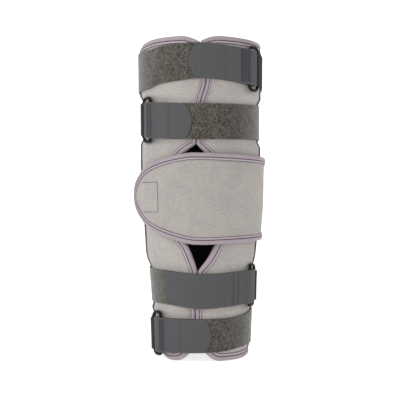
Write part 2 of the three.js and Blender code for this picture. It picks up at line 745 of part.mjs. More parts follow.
function kneeWrap() {
  const columns = columnsInTaper + columnsOnward;
  return sheet('knee_wrap', finishes.foam, columns, wrapRows, (i, j, outer) => {
    const point = wrapPoint(i, j);
    return { ...point, out: wrapLift(point.turn) + (outer ? wrapThickness : 0) };
  });
}

function kneeWrapBinding() {
  const columns = columnsInTaper + columnsOnward;
  const path = [];
  for (let i = columns; i >= 0; i -= 1) path.push(wrapPoint(i, wrapRows));
  for (let j = wrapRows - 1; j > 0; j -= 1) path.push({ ...wrapPoint(0, j), keep: 'z' });
  for (let i = 0; i <= columns; i += 1) path.push(wrapPoint(i, 0));
  return foldedTape('knee_wrap_binding', path, -1, wrapBindingWidth, wrapThickness, wrapLift);
}

function hookPatch() {
  const [columns, rows] = [4, 2];
  return sheet('wrap_hook_patch', finishes.hook, columns, rows, (i, j, outer) => ({
    turn: THREE.MathUtils.lerp(patchFrom, patchTo, i / columns),
    z: wrapMiddle + patchHeight * (j / rows - 0.5),
    out: layerGap + (outer ? patchThickness : 0),
  }));
}

immobilizer.add(frontPanel('panel_left', -1), frontPanel('panel_right', 1), backPanel());
immobilizer.add(frontBinding('binding_left', -1), frontBinding('binding_right', 1));
immobilizer.add(backBinding('binding_back_top', rowCount, 1), backBinding('binding_back_bottom', 0, -1));
immobilizer.add(sideStrip('side_strip_left', -1), sideStrip('side_strip_right', 1));
for (const strap of straps) {
  immobilizer.add(strapBand(strap), hookTab(strap), ring(strap), ringTab(strap));
}
immobilizer.add(kneeWrap(), kneeWrapBinding(), hookPatch());
immobilizer.position.set(centringX, centringY, 0);

export default immobilizer;
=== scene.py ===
"""A knee immobilizer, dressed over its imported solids.

The foam panels have bound and stitched edges, the pile straps pass through rings and end in ribbed hook
tabs, and a wide bound wrap lies over the kneecap cut-out. Shapes are worked out in millimetres on the
sleeve: by the turn round the leg in degrees (0 at the front, positive toward +X), the height, and how far
out from the sleeve's outer face a point stands. They become metres in the row frame when a mesh is made.
"""

import math

import bpy
import numpy as np
from bpy.props import FloatProperty, FloatVectorProperty, PointerProperty
from bpy.types import Operator, Panel, PropertyGroup
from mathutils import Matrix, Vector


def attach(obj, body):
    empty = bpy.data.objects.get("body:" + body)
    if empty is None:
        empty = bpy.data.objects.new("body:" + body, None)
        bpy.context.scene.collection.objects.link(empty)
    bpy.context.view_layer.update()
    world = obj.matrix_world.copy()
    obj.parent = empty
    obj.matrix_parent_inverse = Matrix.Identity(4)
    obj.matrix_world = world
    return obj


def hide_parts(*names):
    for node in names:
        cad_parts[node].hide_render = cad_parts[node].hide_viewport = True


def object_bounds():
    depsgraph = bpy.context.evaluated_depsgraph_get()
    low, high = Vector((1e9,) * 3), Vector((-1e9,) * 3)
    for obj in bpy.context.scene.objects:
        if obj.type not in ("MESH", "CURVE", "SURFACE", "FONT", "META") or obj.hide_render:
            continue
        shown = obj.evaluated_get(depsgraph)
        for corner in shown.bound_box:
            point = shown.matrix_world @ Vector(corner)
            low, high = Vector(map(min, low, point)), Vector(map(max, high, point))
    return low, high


bl_info = {
    "name": "Knee immobilizer",
    "version": (1, 0, 0),
    "blender": (4, 5, 0),
    "location": "View3D > Sidebar > Brace",
    "description": "Builds the cloth, foam, straps and rings of a knee immobilizer over its solids",
    "category": "Object",
}

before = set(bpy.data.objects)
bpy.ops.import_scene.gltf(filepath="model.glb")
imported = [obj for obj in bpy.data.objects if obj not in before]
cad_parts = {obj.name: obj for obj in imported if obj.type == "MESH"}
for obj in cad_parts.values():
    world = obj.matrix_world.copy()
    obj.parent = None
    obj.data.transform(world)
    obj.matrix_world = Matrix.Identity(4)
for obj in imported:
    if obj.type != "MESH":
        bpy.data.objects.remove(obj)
cad_box = [list(corner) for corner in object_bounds()]

MM = 0.001
CENTRING = np.array([2.0, -0.6, 0.0])
FACTOR, COLOUR_A, COLOUR_B = 0, 6, 7  # sockets of a Mix node that mixes colours


def table(columns, *rows):
    """A table with named columns."""
    return {name: np.array([row[k] for row in rows], float) for k, name in enumerate(columns.split())}


# Outline of the sleeve at shares of the height, and how far its axis drifts to the right, as shares of the
# half width at the thigh
BODY = table(
    "up side front back drift",
    (0.0, 0.785, 0.745, 0.775, 0.02),
    (0.14, 0.815, 0.764, 0.854, 0.022),
    (0.28, 0.852, 0.81, 0.9, 0.008),
    (0.34, 0.9, 0.854, 0.888, 0.004),
    (0.5, 0.945, 0.933, 0.854, 0),
    (0.63, 0.975, 0.933, 0.9, -0.004),
    (0.83, 0.985, 0.955, 0.966, -0.006),
    (1.0, 0.995, 0.966, 1.01, -0.008),
)
# How far the top edge drops and the bottom edge rises round the leg, as shares of SIDE_STEP
EDGES = table(
    "turn drop rise",
    (-180, 0.2, 0),
    (-140, 0.4, 0),
    (-90, 0.6, 0.95),
    (-64, 0.15, 0.65),
    (-42, 0, 0),
    (-26, 0, 0),
    (22, 0, 0),
    (45, 0, 0),
    (90, 0, 0.15),
    (140, 0.1, 0),
    (180, 0.2, 0),
)
# The front seam wanders a little, in degrees
SEAM = table(
    "up turn", (0.0, -5.5), (0.16, -8), (0.28, -4.2), (0.67, -4.2), (0.79, -0.5), (0.865, 5), (1.0, -0.8)
)
# The kneecap cut-out from its lower point to its upper one, as shares of CUTOUT_HALF_WIDTH
CUTOUT = table(
    "up left right",
    (0.0, 0.0, 0.0),
    (0.05, 0.05, 0.17),
    (0.1, 0.12, 0.34),
    (0.2, 0.3, 0.58),
    (0.27, 0.53, 0.75),
    (0.35, 0.72, 0.86),
    (0.52, 1.0, 1.0),
    (0.68, 0.97, 0.94),
    (0.77, 0.86, 0.77),
    (0.84, 0.7, 0.58),
    (0.885, 0.57, 0.44),
    (0.925, 0.42, 0.3),
    (0.945, 0.32, 0.22),
    (0.972, 0.17, 0.11),
    (1.0, 0.0, 0.0),
)
# How high the folded-back end of a strap lies, from the ring to its end
FOLD_RISE = table("back high", (0, 1), (0.2, 0.82), (0.45, 0.28), (0.65, 0.05), (1, 0))
# Straps from the bottom up, as the solids have them: "fold" and "tab_start" are shares of FOLD_LENGTH. Each
# tab is sewn down between two places counted back from the ring in millimetres, and shows it by "sewn_shade"
STRAPS = table(
    "number ring_side fold_turn tab_end_turn end_depth end_power squeeze ring_shift end fold tab_start"
    " stitch_from stitch_to sewn_shade",
    (4, -1, -60, 9.4, 0.28, 2, 0.6, 0.03, -1, 1, 0.1, 4, 9.5, 0.8),
    (3, 1, 70, -41, 0.24, 3, 0.72, 0.02, 0, 1.4, 0.9, 29, 38, 0),
    (2, -1, -60, -8.5, 0.28, 2, 1, 0, 0, 1, 0.05, 1.5, 7.5, 0.6),
    (1, 1, 55, -9.6, 0.29, 2, 0.16, 0, 1, 1, 0.15, 6, 17, 0.8),
)
# How far each of them shifts up and how wide it is round the leg, as shares of the straps' width
LEAN = "turn shift width"
LEANS = (
    table(
        LEAN, (-180, 0.05, 1), (-75, -0.03, 1), (0, 0, 0.97), (22, 0.01, 0.95), (48, 0.065, 0.93),
        (88, 0.14, 1), (180, 0.05, 1),
    ),
    table(
        LEAN, (-180, 0.05, 1), (-85, 0.065, 1), (-43, 0.05, 0.98), (0, -0.035, 1), (24, -0.015, 0.985),
        (49, 0.025, 0.97), (90, 0.05, 0.95), (180, 0.05, 1),
    ),
    table(
        LEAN, (-180, 0.08, 1), (-88, 0.16, 1.02), (-45, 0.06, 1.02), (0, 0, 1), (45, 0.02, 1),
        (85, 0.06, 1.02), (180, 0.08, 1),
    ),
    table(
        LEAN, (-180, -0.06, 1.04), (-80, -0.155, 1.15), (-55, -0.15, 1.11), (-38, -0.075, 1.05),
        (-17, -0.03, 1.03), (0, 0, 0.99), (26, -0.055, 0.99), (47, -0.125, 1), (62, -0.155, 1),
        (105, -0.14, 1), (180, -0.06, 1.04),
    ),
)

# Millimetres and degrees that the solids are made with
TAPE_REACH, LAYER_GAP, WIRE_CLEARANCE = 1.7, 0.4, 0.9
STRIP_TURN, SIDE_STEP = 88, 15
SEAM_DEPTH_TOP, SEAM_DEPTH_BOTTOM = 9, 28
CORNER_RUN_TOP, CORNER_RUN_BOTTOM = 30, 36
CUTOUT_HALF_WIDTH = 42
CUTOUT_OVER_THIRD, CUTOUT_UNDER_SECOND = 1, 6
BOTTOM_MARGIN, LOWER_STRAP_GAP, UPPER_STRAP_GAP, TOP_MARGIN = 12.4, 14.6, 33.7, 10.4
SQUEEZE_DEPTH, SQUEEZE_RUN = 5, 11
FOLD_LENGTH, FOLD_REACH, TAB_STEP_DOWN = 30, 8, 8
RING_SPACING, RING_SIDE_GAP = 20, 3
RING_TAB_LENGTH, RING_TAB_SHARE = 28, 0.9
WRAP_TOP_GAP, WRAP_BOTTOM_GAP = 20.6, 41
WRAP_RIGHT_TURN, WRAP_TIP_TURN, WRAP_TAPER_TURN = 104, -87, 80
WRAP_TIP_LIFT, WRAP_TIP_RISE, WRAP_TAPER_POWER = 5.6, 0.9, 1.25
WRAP_NARROW_FROM, WRAP_NARROW_SHARE = 5, 0.08
PATCH_FROM, PATCH_TO, PATCH_HEIGHT = -69, -47, 38

# Millimetres that only the pieces here have: thin sheets, how far the pile's loops stand in and out, and the
# spacing of the sections along a tape, a pile band and a hook tab
STRIP_THICKNESS, PATCH_THICKNESS, PATCH_LIFT = 0.9, 1.9, 2
PILE_ROUGH = 0.07
TAPE_STEP, BAND_STEP, TAB_STEP = 1.3, 1.9, 1.4
# A mitre is eased over so many widths of tape, the sleeve's end rows take up so much of its height, a ring's
# corners are so round, and the wrap's tip lifts off from a turn on by a power of the way that is left
MITRE_WIDTHS, END_SHARE, RING_ROUNDING = 3.2, 0.14, 0.7
WRAP_LIFT_FROM, WRAP_LIFT_POWER = -70, 1.2

# Stitch lines: on a folded tape and a side strip, as shares of the width, and how far off the wall; on the
# ring webbing, in millimetres from the ring; and round the wrap's patch, in turns and heights
SEWN_AT, STRIP_SEWN_AT, SEWN_LIFT, THREAD_LIFT = 0.56, 0.86, 0.85, 0.05
RING_TAB_STITCHES = (14, 25)
PATCH_LEFT, PATCH_RIGHT, PATCH_LOW, PATCH_HIGH = -65.5, -41, 211.5, 253.5
# How much of its full width the tape shows along the front edges, narrower beside the closed seam
TAPE_SHOWN = table(
    "up share",
    (0.0, 1), (0.1, 0.85), (0.2, 0.75), (0.3, 1), (0.62, 1), (0.72, 0.62), (0.88, 0.62), (1.0, 0.95),
)

# The stage, in metres: a floor that curves up into a wall, lamps with their sizes and powers, and the camera
FLOOR_FLAT, FLOOR_RISE, FLOOR_WALL, FLOOR_DROP = 2.4, 0.9, 2.6, 0.0002
AIR_STRENGTH = 0.5
LAMPS = (
    ("key_light", (-1.8, -1.25, 1.5), 1.2, 19),
    ("fill_light", (1.2, -1.6, 0.5), 1.4, 0.6),
    ("back_light", (0.2, 1.5, 1.5), 1.2, 2.5),
)
LAMP_TARGET = (0, 0, 0.23)
CAMERA_AT, CAMERA_LENS = (0.0009, -1.2866, 0.2285), 78.1


def curve(rows, along, column, at):
    """Smooth curve through a table's rows, which never swings past them."""
    x, y = rows[along], rows[column]
    at = np.asarray(at, float)
    k = np.clip(np.searchsorted(x, at) - 1, 0, len(x) - 2)
    rate = np.diff(y) / np.diff(x)
    slope = np.concatenate([rate[:1], np.zeros(len(x) - 2), rate[-1:]])
    before, after = rate[:-1], rate[1:]
    level = before * after > 0
    slope[1:-1][level] = (2 * before * after)[level] / (before + after)[level]
    span = x[k + 1] - x[k]
    t = np.clip((at - x[k]) / span, 0, 1)
    rest = 1 - t
    ends = y[k] * (1 + 2 * t) * rest * rest + y[k + 1] * (3 - 2 * t) * t * t
    return ends + span * t * rest * (slope[k] * rest - slope[k + 1] * t)


def smoothstep(share):
    share = np.clip(share, 0, 1)
    return share * share * (3 - 2 * share)


def mix(a, b, share):
    return a + (b - a) * share


def path_length(points):
    """Length along a line of points, from 0 at the first of them."""
    return np.concatenate([[0], np.cumsum(np.linalg.norm(np.diff(points, axis=0), axis=1))])


def unit(vectors):
    return vectors / np.linalg.norm(vectors, axis=-1, keepdims=True)


def wrap_turn(turn):
    return (np.asarray(turn, float) + 180) % 360 - 180


class Sleeve:
    """The foam sleeve's surface, its edges, and the straps on it."""

    def __init__(self, sizes):
        for name in sizes.__annotations__:
            setattr(self, name, getattr(sizes, name) / MM)
        self.height, self.half_width = self.overall_height, self.thigh_half_width
        self.wire_radius = self.wire_diameter / 2
        half = self.strap_width / 2
        fourth = BOTTOM_MARGIN + half
        third = fourth + self.strap_width + LOWER_STRAP_GAP
        first = self.height - TOP_MARGIN - half
        second = first - self.strap_width - UPPER_STRAP_GAP
        self.straps = [Strap(self, row, level) for row, level in enumerate((fourth, third, second, first))]
        self.cutout_floor = third + half + CUTOUT_OVER_THIRD
        self.cutout_ceiling = second - half - CUTOUT_UNDER_SECOND
        wrap_floor, wrap_ceiling = third + half + WRAP_BOTTOM_GAP, second - half - WRAP_TOP_GAP
        self.wrap_middle, self.wrap_half = (wrap_floor + wrap_ceiling) / 2, (wrap_ceiling - wrap_floor) / 2
        self.levels = (fourth + half, first - half)

    def section(self, z, squeezed=0):
        up = np.asarray(z, float) / self.height
        side, front, back = (
            self.half_width * curve(BODY, "up", column, up) - squeezed for column in ("side", "front", "back")
        )
        return side, (front + back) / 2, (back - front) / 2, self.half_width * curve(BODY, "up", "drift", up)

    def pressed(self, turn, z):
        """How hard the straps squeeze the foam at a point, and how near a strap it is, both from 0 to 1."""
        hard, near = np.zeros(np.shape(z)), np.zeros(np.shape(z))
        for strap in self.straps:
            above = z - strap.middle(turn)
            beyond = np.where(above * strap.end > 0, 0, np.abs(above) - strap.half(turn))
            ease = 1 - smoothstep(beyond / SQUEEZE_RUN)
            hard = np.maximum(hard, strap.squeeze * ease)
            beyond = np.abs(above) - strap.half(turn)
            near = np.maximum(near, 1 - smoothstep((beyond + 3) / SQUEEZE_RUN))
        return hard, near

    def place(self, turn, z, out):
        """A point on or off the sleeve's outer face, in millimetres of the row frame."""
        turn, z, out = np.broadcast_arrays(*(np.asarray(v, float) for v in (turn, z, out)))
        side, depth, shift, drift = self.section(z, SQUEEZE_DEPTH * self.pressed(turn, z)[0])
        angle = np.radians(turn)
        x, y = drift + (side + out) * np.sin(angle), shift - (depth + out) * np.cos(angle)
        return np.stack([x, y, z], -1) + CENTRING

    def turn_of(self, length, z, out=0):
        """Degrees of turn that a length takes up at a height."""
        side, depth = self.section(z)[:2]
        return np.degrees(length / ((side + depth) / 2 + out))

    def skin(self, turn, z):
        """How far the cloth stands off the plain surface: soft billows, and foam that fills up to a strap."""
        a = np.radians(turn)
        waves = (
            np.sin(3 * a + z * 0.043 + 1.1) * np.sin(z * 0.061 - 2 * a)
            + 0.6 * np.sin(7 * a - z * 0.094 + 0.4)
            + 0.45 * np.sin(13 * a + z * 0.17) * np.sin(z * 0.13 + 5 * a + 2)
        )
        from_seam = np.abs(wrap_turn(turn) - self.seam_turn(z)) / self.turn_of(1, z)
        bed = mix(0.5, 1.75, smoothstep((from_seam - 11) / 10))
        return self.billow * waves * 0.5 + bed * self.pressed(turn, z)[1]

    def seam_turn(self, z):
        return curve(SEAM, "up", "turn", np.asarray(z, float) / self.height)

    def corner_ease(self, turn, z, run):
        beside = np.abs(wrap_turn(turn) - self.seam_turn(z)) / self.turn_of(run, z)
        return np.maximum(0, 1 - beside) ** 2

    def top_edge(self, turn):
        ceiling = self.height - TAPE_REACH
        drop = SIDE_STEP * curve(EDGES, "turn", "drop", wrap_turn(turn))
        return ceiling - drop - SEAM_DEPTH_TOP * self.corner_ease(turn, ceiling, CORNER_RUN_TOP)

    def bottom_edge(self, turn):
        rise = SIDE_STEP * curve(EDGES, "turn", "rise", wrap_turn(turn))
        return TAPE_REACH + rise + SEAM_DEPTH_BOTTOM * self.corner_ease(turn, TAPE_REACH, CORNER_RUN_BOTTOM)

    def row_height(self, turn, up):
        """Height at a share of the way up; the lowest and highest rows take up the sleeve's sloping ends."""
        low, high = self.levels
        below = mix(self.bottom_edge(turn), low, np.clip(up / END_SHARE, 0, 1))
        between = mix(low, high, (up - END_SHARE) / (1 - 2 * END_SHARE))
        above = mix(high, self.top_edge(turn), np.clip((up - 1 + END_SHARE) / END_SHARE, 0, 1))
        return np.where(up < END_SHARE, below, np.where(up > 1 - END_SHARE, above, between))

    def front_edge_turn(self, side, z):
        up = np.clip((z - self.cutout_floor) / (self.cutout_ceiling - self.cutout_floor), 0, 1)
        reach = CUTOUT_HALF_WIDTH * curve(CUTOUT, "up", "left" if side < 0 else "right", up)
        edge_gap = TAPE_REACH + LAYER_GAP / 2
        return self.seam_turn(z) + side * self.turn_of(edge_gap + reach, z)

    def front_point(self, side, across, up):
        """Turn and height on a front panel, from its front edge (across 0) to the side seam (across 1)."""
        seam_z = self.row_height(self.seam_turn(up * self.height), up)
        edge = self.front_edge_turn(side, seam_z)
        turn = mix(edge, side * STRIP_TURN, across)
        return turn, self.row_height(turn, up)

    # The knee wrap
    def wrap_half_height(self, turn):
        run = np.clip((turn - WRAP_TIP_TURN) / WRAP_TAPER_TURN, 0, 1)
        onward = np.clip((turn - WRAP_NARROW_FROM) / (WRAP_RIGHT_TURN - WRAP_NARROW_FROM), 0, 1)
        narrowed = 1 - WRAP_NARROW_SHARE * onward
        return self.wrap_half * np.sqrt(1 - (1 - run) ** WRAP_TAPER_POWER) * narrowed

    def wrap_lift(self, turn):
        base = 2 * TAPE_REACH + 2.5 * LAYER_GAP
        run = np.clip((WRAP_LIFT_FROM - turn) / (WRAP_LIFT_FROM - WRAP_TIP_TURN), 0, 1)
        return base + WRAP_TIP_LIFT * run**WRAP_LIFT_POWER

    def wrap_skin(self, turn, z):
        """How far the wrap's outer face stands off the sleeve, with its soft billows."""
        a = np.radians(turn)
        waves = np.sin(2.3 * a + z * 0.03 + 0.8) * np.sin(z * 0.05) + 0.5 * np.sin(6 * a - z * 0.06)
        return self.wrap_lift(turn) + self.wrap_thickness + self.billow * waves * 0.8

    def wrap_height(self, turn, share):
        """Height on the wrap, with share from -1 at its bottom edge to 1 at its top edge."""
        rise = WRAP_TIP_RISE * np.clip(-turn / 20, 0, 3)
        return self.wrap_middle + rise + self.wrap_half_height(turn) * share

    def seam(self, turn, z, out):
        """A line to stitch along, and the directions that it faces."""
        return self.place(turn, z, out), facing_out(np.broadcast_to(turn, np.shape(z)))


class Strap:
    """One strap: where it runs, and where its ring, fold and tab lie."""

    def __init__(self, sleeve, row, level):
        self.sleeve, self.level, self.lean = sleeve, level, LEANS[row]
        for name, column in STRAPS.items():
            setattr(self, name, float(column[row]))
        self.number = int(self.number)
        thick = sleeve.strap_thickness
        self.overlay = TAPE_REACH + 2 * LAYER_GAP
        self.low = self.overlay + thick / 2
        self.bend = sleeve.wire_radius + WIRE_CLEARANCE + thick / 2
        self.bar_lift = self.low + self.bend
        self.doubled = self.low + thick + LAYER_GAP
        self.ring_z = self.middle(self.fold_turn) + self.ring_shift * sleeve.strap_width
        self.per_mm = float(sleeve.turn_of(1, self.ring_z, self.bar_lift))
        reach = FOLD_REACH + self.bend + thick / 2
        self.front_turn = self.fold_turn - self.ring_side * reach * self.per_mm
        self.rear_turn = self.front_turn + self.ring_side * RING_SPACING * self.per_mm

    def middle(self, turn):
        return self.level + self.sleeve.strap_width * curve(self.lean, "turn", "shift", wrap_turn(turn))

    def half(self, turn):
        return self.sleeve.strap_width / 2 * curve(self.lean, "turn", "width", wrap_turn(turn))

    def turn_back(self, back):
        """Turn of a point counted back from the ring's front bar in millimetres."""
        return self.front_turn - self.ring_side * np.asarray(back, float) * self.per_mm

    def folded_lift(self, back):
        high = curve(FOLD_RISE, "back", "high", np.clip(np.asarray(back, float) / FOLD_LENGTH, 0, 1))
        return self.doubled + (self.bar_lift + self.bend - self.doubled) * high

    def stitch_line(self, turn, out, width=1):
        """A line across the strap to stitch along, and the directions that it faces."""
        turn = float(turn)
        half = float(self.half(turn)) * width - 3
        return self.sleeve.seam(turn, float(self.middle(turn)) + np.linspace(-half, half, 120), out)

    def ribbon(self, turns, lifts, thickness, columns, width=1, inset=0, rough=0, seed=0):
        """Rings of points round a ribbon's section, and how far along and across it each point lies."""
        path = np.stack([turns / self.per_mm, lifts], 1)
        run = unit(np.gradient(path, axis=0))
        half = np.maximum(self.half(turns) * width - inset, 0.02)
        share = np.sin(np.linspace(-1, 1, columns + 1) * math.pi / 2)
        share = np.concatenate([share, share[-2:0:-1]])
        upper = np.concatenate([np.ones(columns + 1), -np.ones(columns - 1)])
        across = half[:, None] * share
        from_edge = half[:, None] - np.abs(across)
        rounding = np.clip(from_edge / (thickness / 2), 0, 1)
        shift = upper * np.sqrt(1 - (1 - rounding) ** 2) * thickness / 2
        if rough:
            shift += np.random.default_rng(seed).normal(0, rough, shift.shape) * (rounding > 0.5)
        turn = turns[:, None] - run[:, 1:] * shift * self.per_mm
        out = lifts[:, None] + run[:, :1] * shift
        rings = self.sleeve.place(turn, self.middle(turns)[:, None] + across, out)
        along = np.broadcast_to(path_length(path)[:, None], across.shape)
        return rings, {"along": along, "across": across, "from_edge": from_edge}


# Meshes
def swept_faces(rings, looped=False):
    """Quads between rings of points, and the two end faces unless the sweep runs in a loop."""
    count, around = rings.shape[:2]
    start = np.arange(count if looped else count - 1)[:, None] * around
    following = (start + around) % (count * around)
    k = np.arange(around)[None, :]
    turn = (k + 1) % around
    quads = np.stack([start + k, start + turn, following + turn, following + k], -1).reshape(-1, 4)
    ends = [] if looped else [np.arange(around)[::-1], np.arange(around) + (count - 1) * around]
    return quads, ends


def new_object(name, points, quads, ends, finishes, face_finish=None, marks=None):
    """One mesh object in the row frame, its faces turned outward."""
    points = np.asarray(points, float).reshape(-1, 3)
    a, b, c, d = (points[quads[:, k]] for k in range(4))
    volume = np.einsum("ij,ij->", a, np.cross(b, c)) + np.einsum("ij,ij->", a, np.cross(c, d))
    if volume < 0:
        quads, ends = quads[:, ::-1], [end[::-1] for end in ends]
    mesh = bpy.data.meshes.new(name)
    mesh.from_pydata((points * MM).tolist(), [], quads.tolist() + [end.tolist() for end in ends])
    if face_finish is not None:
        which = np.concatenate([face_finish, np.zeros(len(ends))]).astype(np.int32)
        mesh.polygons.foreach_set("material_index", which)
    mesh.validate()
    mesh.shade_smooth()
    for mark, values in (marks or {}).items():
        attribute = mesh.attributes.new(mark, "FLOAT", "POINT")
        attribute.data.foreach_set("value", np.ascontiguousarray(values, np.float32).ravel())
    for finish in finishes:
        mesh.materials.append(finish_named(finish))
    made = bpy.data.objects.new(name, mesh)
    bpy.context.scene.collection.objects.link(made)
    return made


def new_piece(name, *shape):
    """One mesh object that rides on the root body."""
    piece = new_object(name, *shape)
    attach(piece, "root")
    return piece


def dressed(node, part, rings, finishes, face_finish=None, marks=None, looped=False):
    """A mesh swept through rings of points, which stands for one solid and takes its finish from a slot."""
    piece = new_piece(f"{node}_{part}", rings, *swept_faces(rings, looped), finishes, face_finish, marks)
    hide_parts(node)
    return piece


def laminate(node, part, sleeve, turn, z, out, thickness, finishes, marks=None):
    """A dressed sheet on a grid of turns and heights, whose inside takes the last of the finishes."""
    outer, inner = sleeve.place(turn, z, out), sleeve.place(turn, z, out - thickness)
    rings = np.concatenate([outer, inner[:, ::-1]], 1)
    inside = np.arange(rings.shape[1]) >= turn.shape[1] - 1
    face_finish = np.tile(inside * (len(finishes) - 1), len(rings) - 1)
    marks = {mark: np.concatenate([grid, grid[:, ::-1]], 1) for mark, grid in (marks or {}).items()}
    return dressed(node, part, rings, finishes, face_finish, marks)


def tape_section(width, wall):
    """A folded tape round an edge: how deep from the edge, and how high over the wall's inner face."""
    groove = width * SEWN_AT
    over = np.array([
        (width, 0.5), (width - 0.15, 0.95), (width - 0.6, 1.15), (groove + 0.9, 1.2), (groove + 0.5, 1.0),
        (groove, 0.6), (groove - 0.5, 1.0), (groove - 1.1, 1.42), (width * 0.4, 1.66), (width * 0.2, 1.72),
        (width * 0.06, 1.62),
    ])
    outer = np.stack([over[:, 0], wall + over[:, 1]], 1)
    angle = np.radians(np.linspace(72, -72, 11))
    nose = np.stack([0.6 - 2.3 * np.cos(angle), wall / 2 + (wall / 2 + 1.5) * np.sin(angle)], 1)
    inner = np.stack([over[::-1, 0], -over[::-1, 1]], 1)
    return np.concatenate([outer, nose, inner])


def resample(turn, z, sleeve):
    """The same run of points at even steps along the sleeve."""
    along = path_length(np.stack([turn / sleeve.turn_of(1, z), z], 1))
    even = np.linspace(0, along[-1], max(int(along[-1] / TAPE_STEP), 8))
    return np.interp(even, along, turn), np.interp(even, along, z)


class Tape:
    """A folded tape along runs of (turn, z), mitred where two runs meet, with its wall on one side."""

    def __init__(self, sleeve, runs, inward, width, wall, inner_face, ease=7):
        self.sleeve, self.inner_face, self.wall, self.width = sleeve, inner_face, wall, width
        runs = [resample(turn, z, sleeve) for turn, z in runs]
        flats = [np.stack([turn / sleeve.turn_of(1, z), z], 1) for turn, z in runs]
        headings = [self.heading(flat, ease) for flat in flats]
        last, mitre = len(runs) - 1, MITRE_WIDTHS * width
        parts = []
        for k, ((turn, z), flat, heading) in enumerate(zip(runs, flats, headings)):
            across = np.stack([heading[:, 1], -heading[:, 0]], 1) * inward
            along = path_length(flat)
            skew = np.zeros(len(turn))
            if k > 0:
                lean = self.lean(headings[k - 1][-1], heading[0], across[0])
                skew += lean * np.clip(1 - along / mitre, 0, 1)
            if k < last:
                lean = self.lean(heading[-1], headings[k + 1][0], across[-1])
                skew -= lean * np.clip(1 - (along[-1] - along) / mitre, 0, 1)
            # Only a front panel's tape has a second run, down its front edge
            shown = curve(TAPE_SHOWN, "up", "share", z / sleeve.height) if k == 1 else np.ones(len(z))
            run = (turn, z, across + skew[:, None] * heading, shown)
            parts.append([column[:None if k == last else -1] for column in run])
        self.turn, self.z, self.across, self.shown = (np.concatenate(column) for column in zip(*parts))

    @staticmethod
    def heading(flat, ease):
        """Direction of a run, smoothed over its neighbours."""
        padded = np.pad(np.gradient(flat, axis=0), ((ease, ease), (0, 0)), "edge")
        kernel = np.hanning(2 * ease + 3)[1:-1]
        return unit(np.stack([np.convolve(padded[:, k], kernel / kernel.sum(), "valid") for k in (0, 1)], 1))

    @staticmethod
    def lean(before, after, across):
        bend = math.acos(float(np.clip(before @ after, -1, 1)))
        return math.tan(bend / 2) * float(np.sign((after - before) @ across))

    def line(self, deep, high):
        """Points along the tape at one place of its section, and their turns."""
        deep = deep * self.shown if deep > 0 else np.full(len(self.z), deep)
        turn = self.turn + self.sleeve.turn_of(deep * self.across[:, 0], self.z)
        z = self.z + deep * self.across[:, 1]
        return self.sleeve.place(turn, z, self.inner_face(turn, z) + high), turn

    def stitch_row(self, high):
        """The line to stitch along on one face of the tape, and the directions that it faces."""
        line, turn = self.line(self.width * SEWN_AT, high)
        return line, facing_out(turn) * math.copysign(1, high)

    def piece(self, node):
        section = tape_section(self.width, self.wall)
        rings = np.stack([self.line(deep, high)[0] for deep, high in section], 1)
        marks = {"deep": np.broadcast_to(section[:, 0] / self.width, rings.shape[:2])}
        dressed(node, "tape", rings, ["edge_tape"], marks=marks)


def facing_out(turn):
    angle = np.radians(turn)
    return np.stack([np.sin(angle), -np.cos(angle), np.zeros_like(angle)], -1)


def stitch_points(line, outward, length, gap, thickness):
    """Rings of points for a row of stitches along a line: each a short thread that dips at both ends."""
    along = path_length(line)
    count = max(int(along[-1] / (length + gap)), 1)
    middles = (np.arange(count) + 0.5) * along[-1] / count
    shares = np.array([-1, -0.86, -0.5, 0, 0.5, 0.86, 1])
    swell = np.array([0.25, 0.7, 0.95, 1, 0.95, 0.7, 0.25])
    rise = np.array([-0.9, -0.35, 0.2, 0.35, 0.2, -0.35, -0.9])
    at = middles[:, None] + shares[None, :] * length / 2
    centre, out = (
        np.stack([np.interp(at, along, values[:, k]) for k in range(3)], -1) for values in (line, outward)
    )
    centre = centre + out * (rise * thickness / 2)[None, :, None]
    ahead = unit(np.gradient(centre, axis=1))
    sideways = unit(np.cross(ahead, out))
    upright = np.cross(sideways, ahead)
    angle = np.linspace(0, 2 * math.pi, 5, endpoint=False)
    radius = (swell * thickness / 2)[None, :, None, None]
    spread = sideways[:, :, None] * np.cos(angle)[None, None, :, None]
    spread = spread + upright[:, :, None] * np.sin(angle)[None, None, :, None]
    return centre[:, :, None] + spread * radius


def stitched(name, rows, finish, sleeve, fineness=1.0):
    """One mesh of all the stitches along several lines, given as (points, outward directions)."""
    sizes = (sleeve.stitch_length, sleeve.stitch_gap, sleeve.thread_thickness)
    stitches = np.concatenate([stitch_points(*row, *(size * fineness for size in sizes)) for row in rows])
    quads, ends = swept_faces(stitches[0])
    offsets = np.arange(len(stitches)) * stitches.shape[1] * stitches.shape[2]
    all_quads = (offsets[:, None, None] + quads[None]).reshape(-1, 4)
    all_ends = [end + offset for offset in offsets for end in ends]
    return new_piece(name, stitches, all_quads, all_ends, [finish])


# Finishes
class Value:
    """A number from a shader socket; arithmetic on it adds Math nodes."""

    def __init__(self, finish, socket):
        self.finish, self.socket = finish, socket

    def maths(self, operation, *values):
        return self.finish.node("ShaderNodeMath", {"operation": operation}, dict(enumerate(values)))

    def __add__(self, other):
        return self.maths("ADD", self, other)

    def __radd__(self, other):
        return self.maths("ADD", other, self)

    def __sub__(self, other):
        return self.maths("SUBTRACT", self, other)

    def __rsub__(self, other):
        return self.maths("SUBTRACT", other, self)

    def __mul__(self, other):
        return self.maths("MULTIPLY", self, other)

    def __rmul__(self, other):
        return self.maths("MULTIPLY", other, self)

    def sine(self):
        return self.maths("SINE", self)

    def between(self, low, high):
        """0 below low, 1 above high and even between them."""
        settings = {"clamp": True}
        return self.finish.node("ShaderNodeMapRange", settings, {0: self, 1: low, 2: high, 3: 0.0, 4: 1.0})


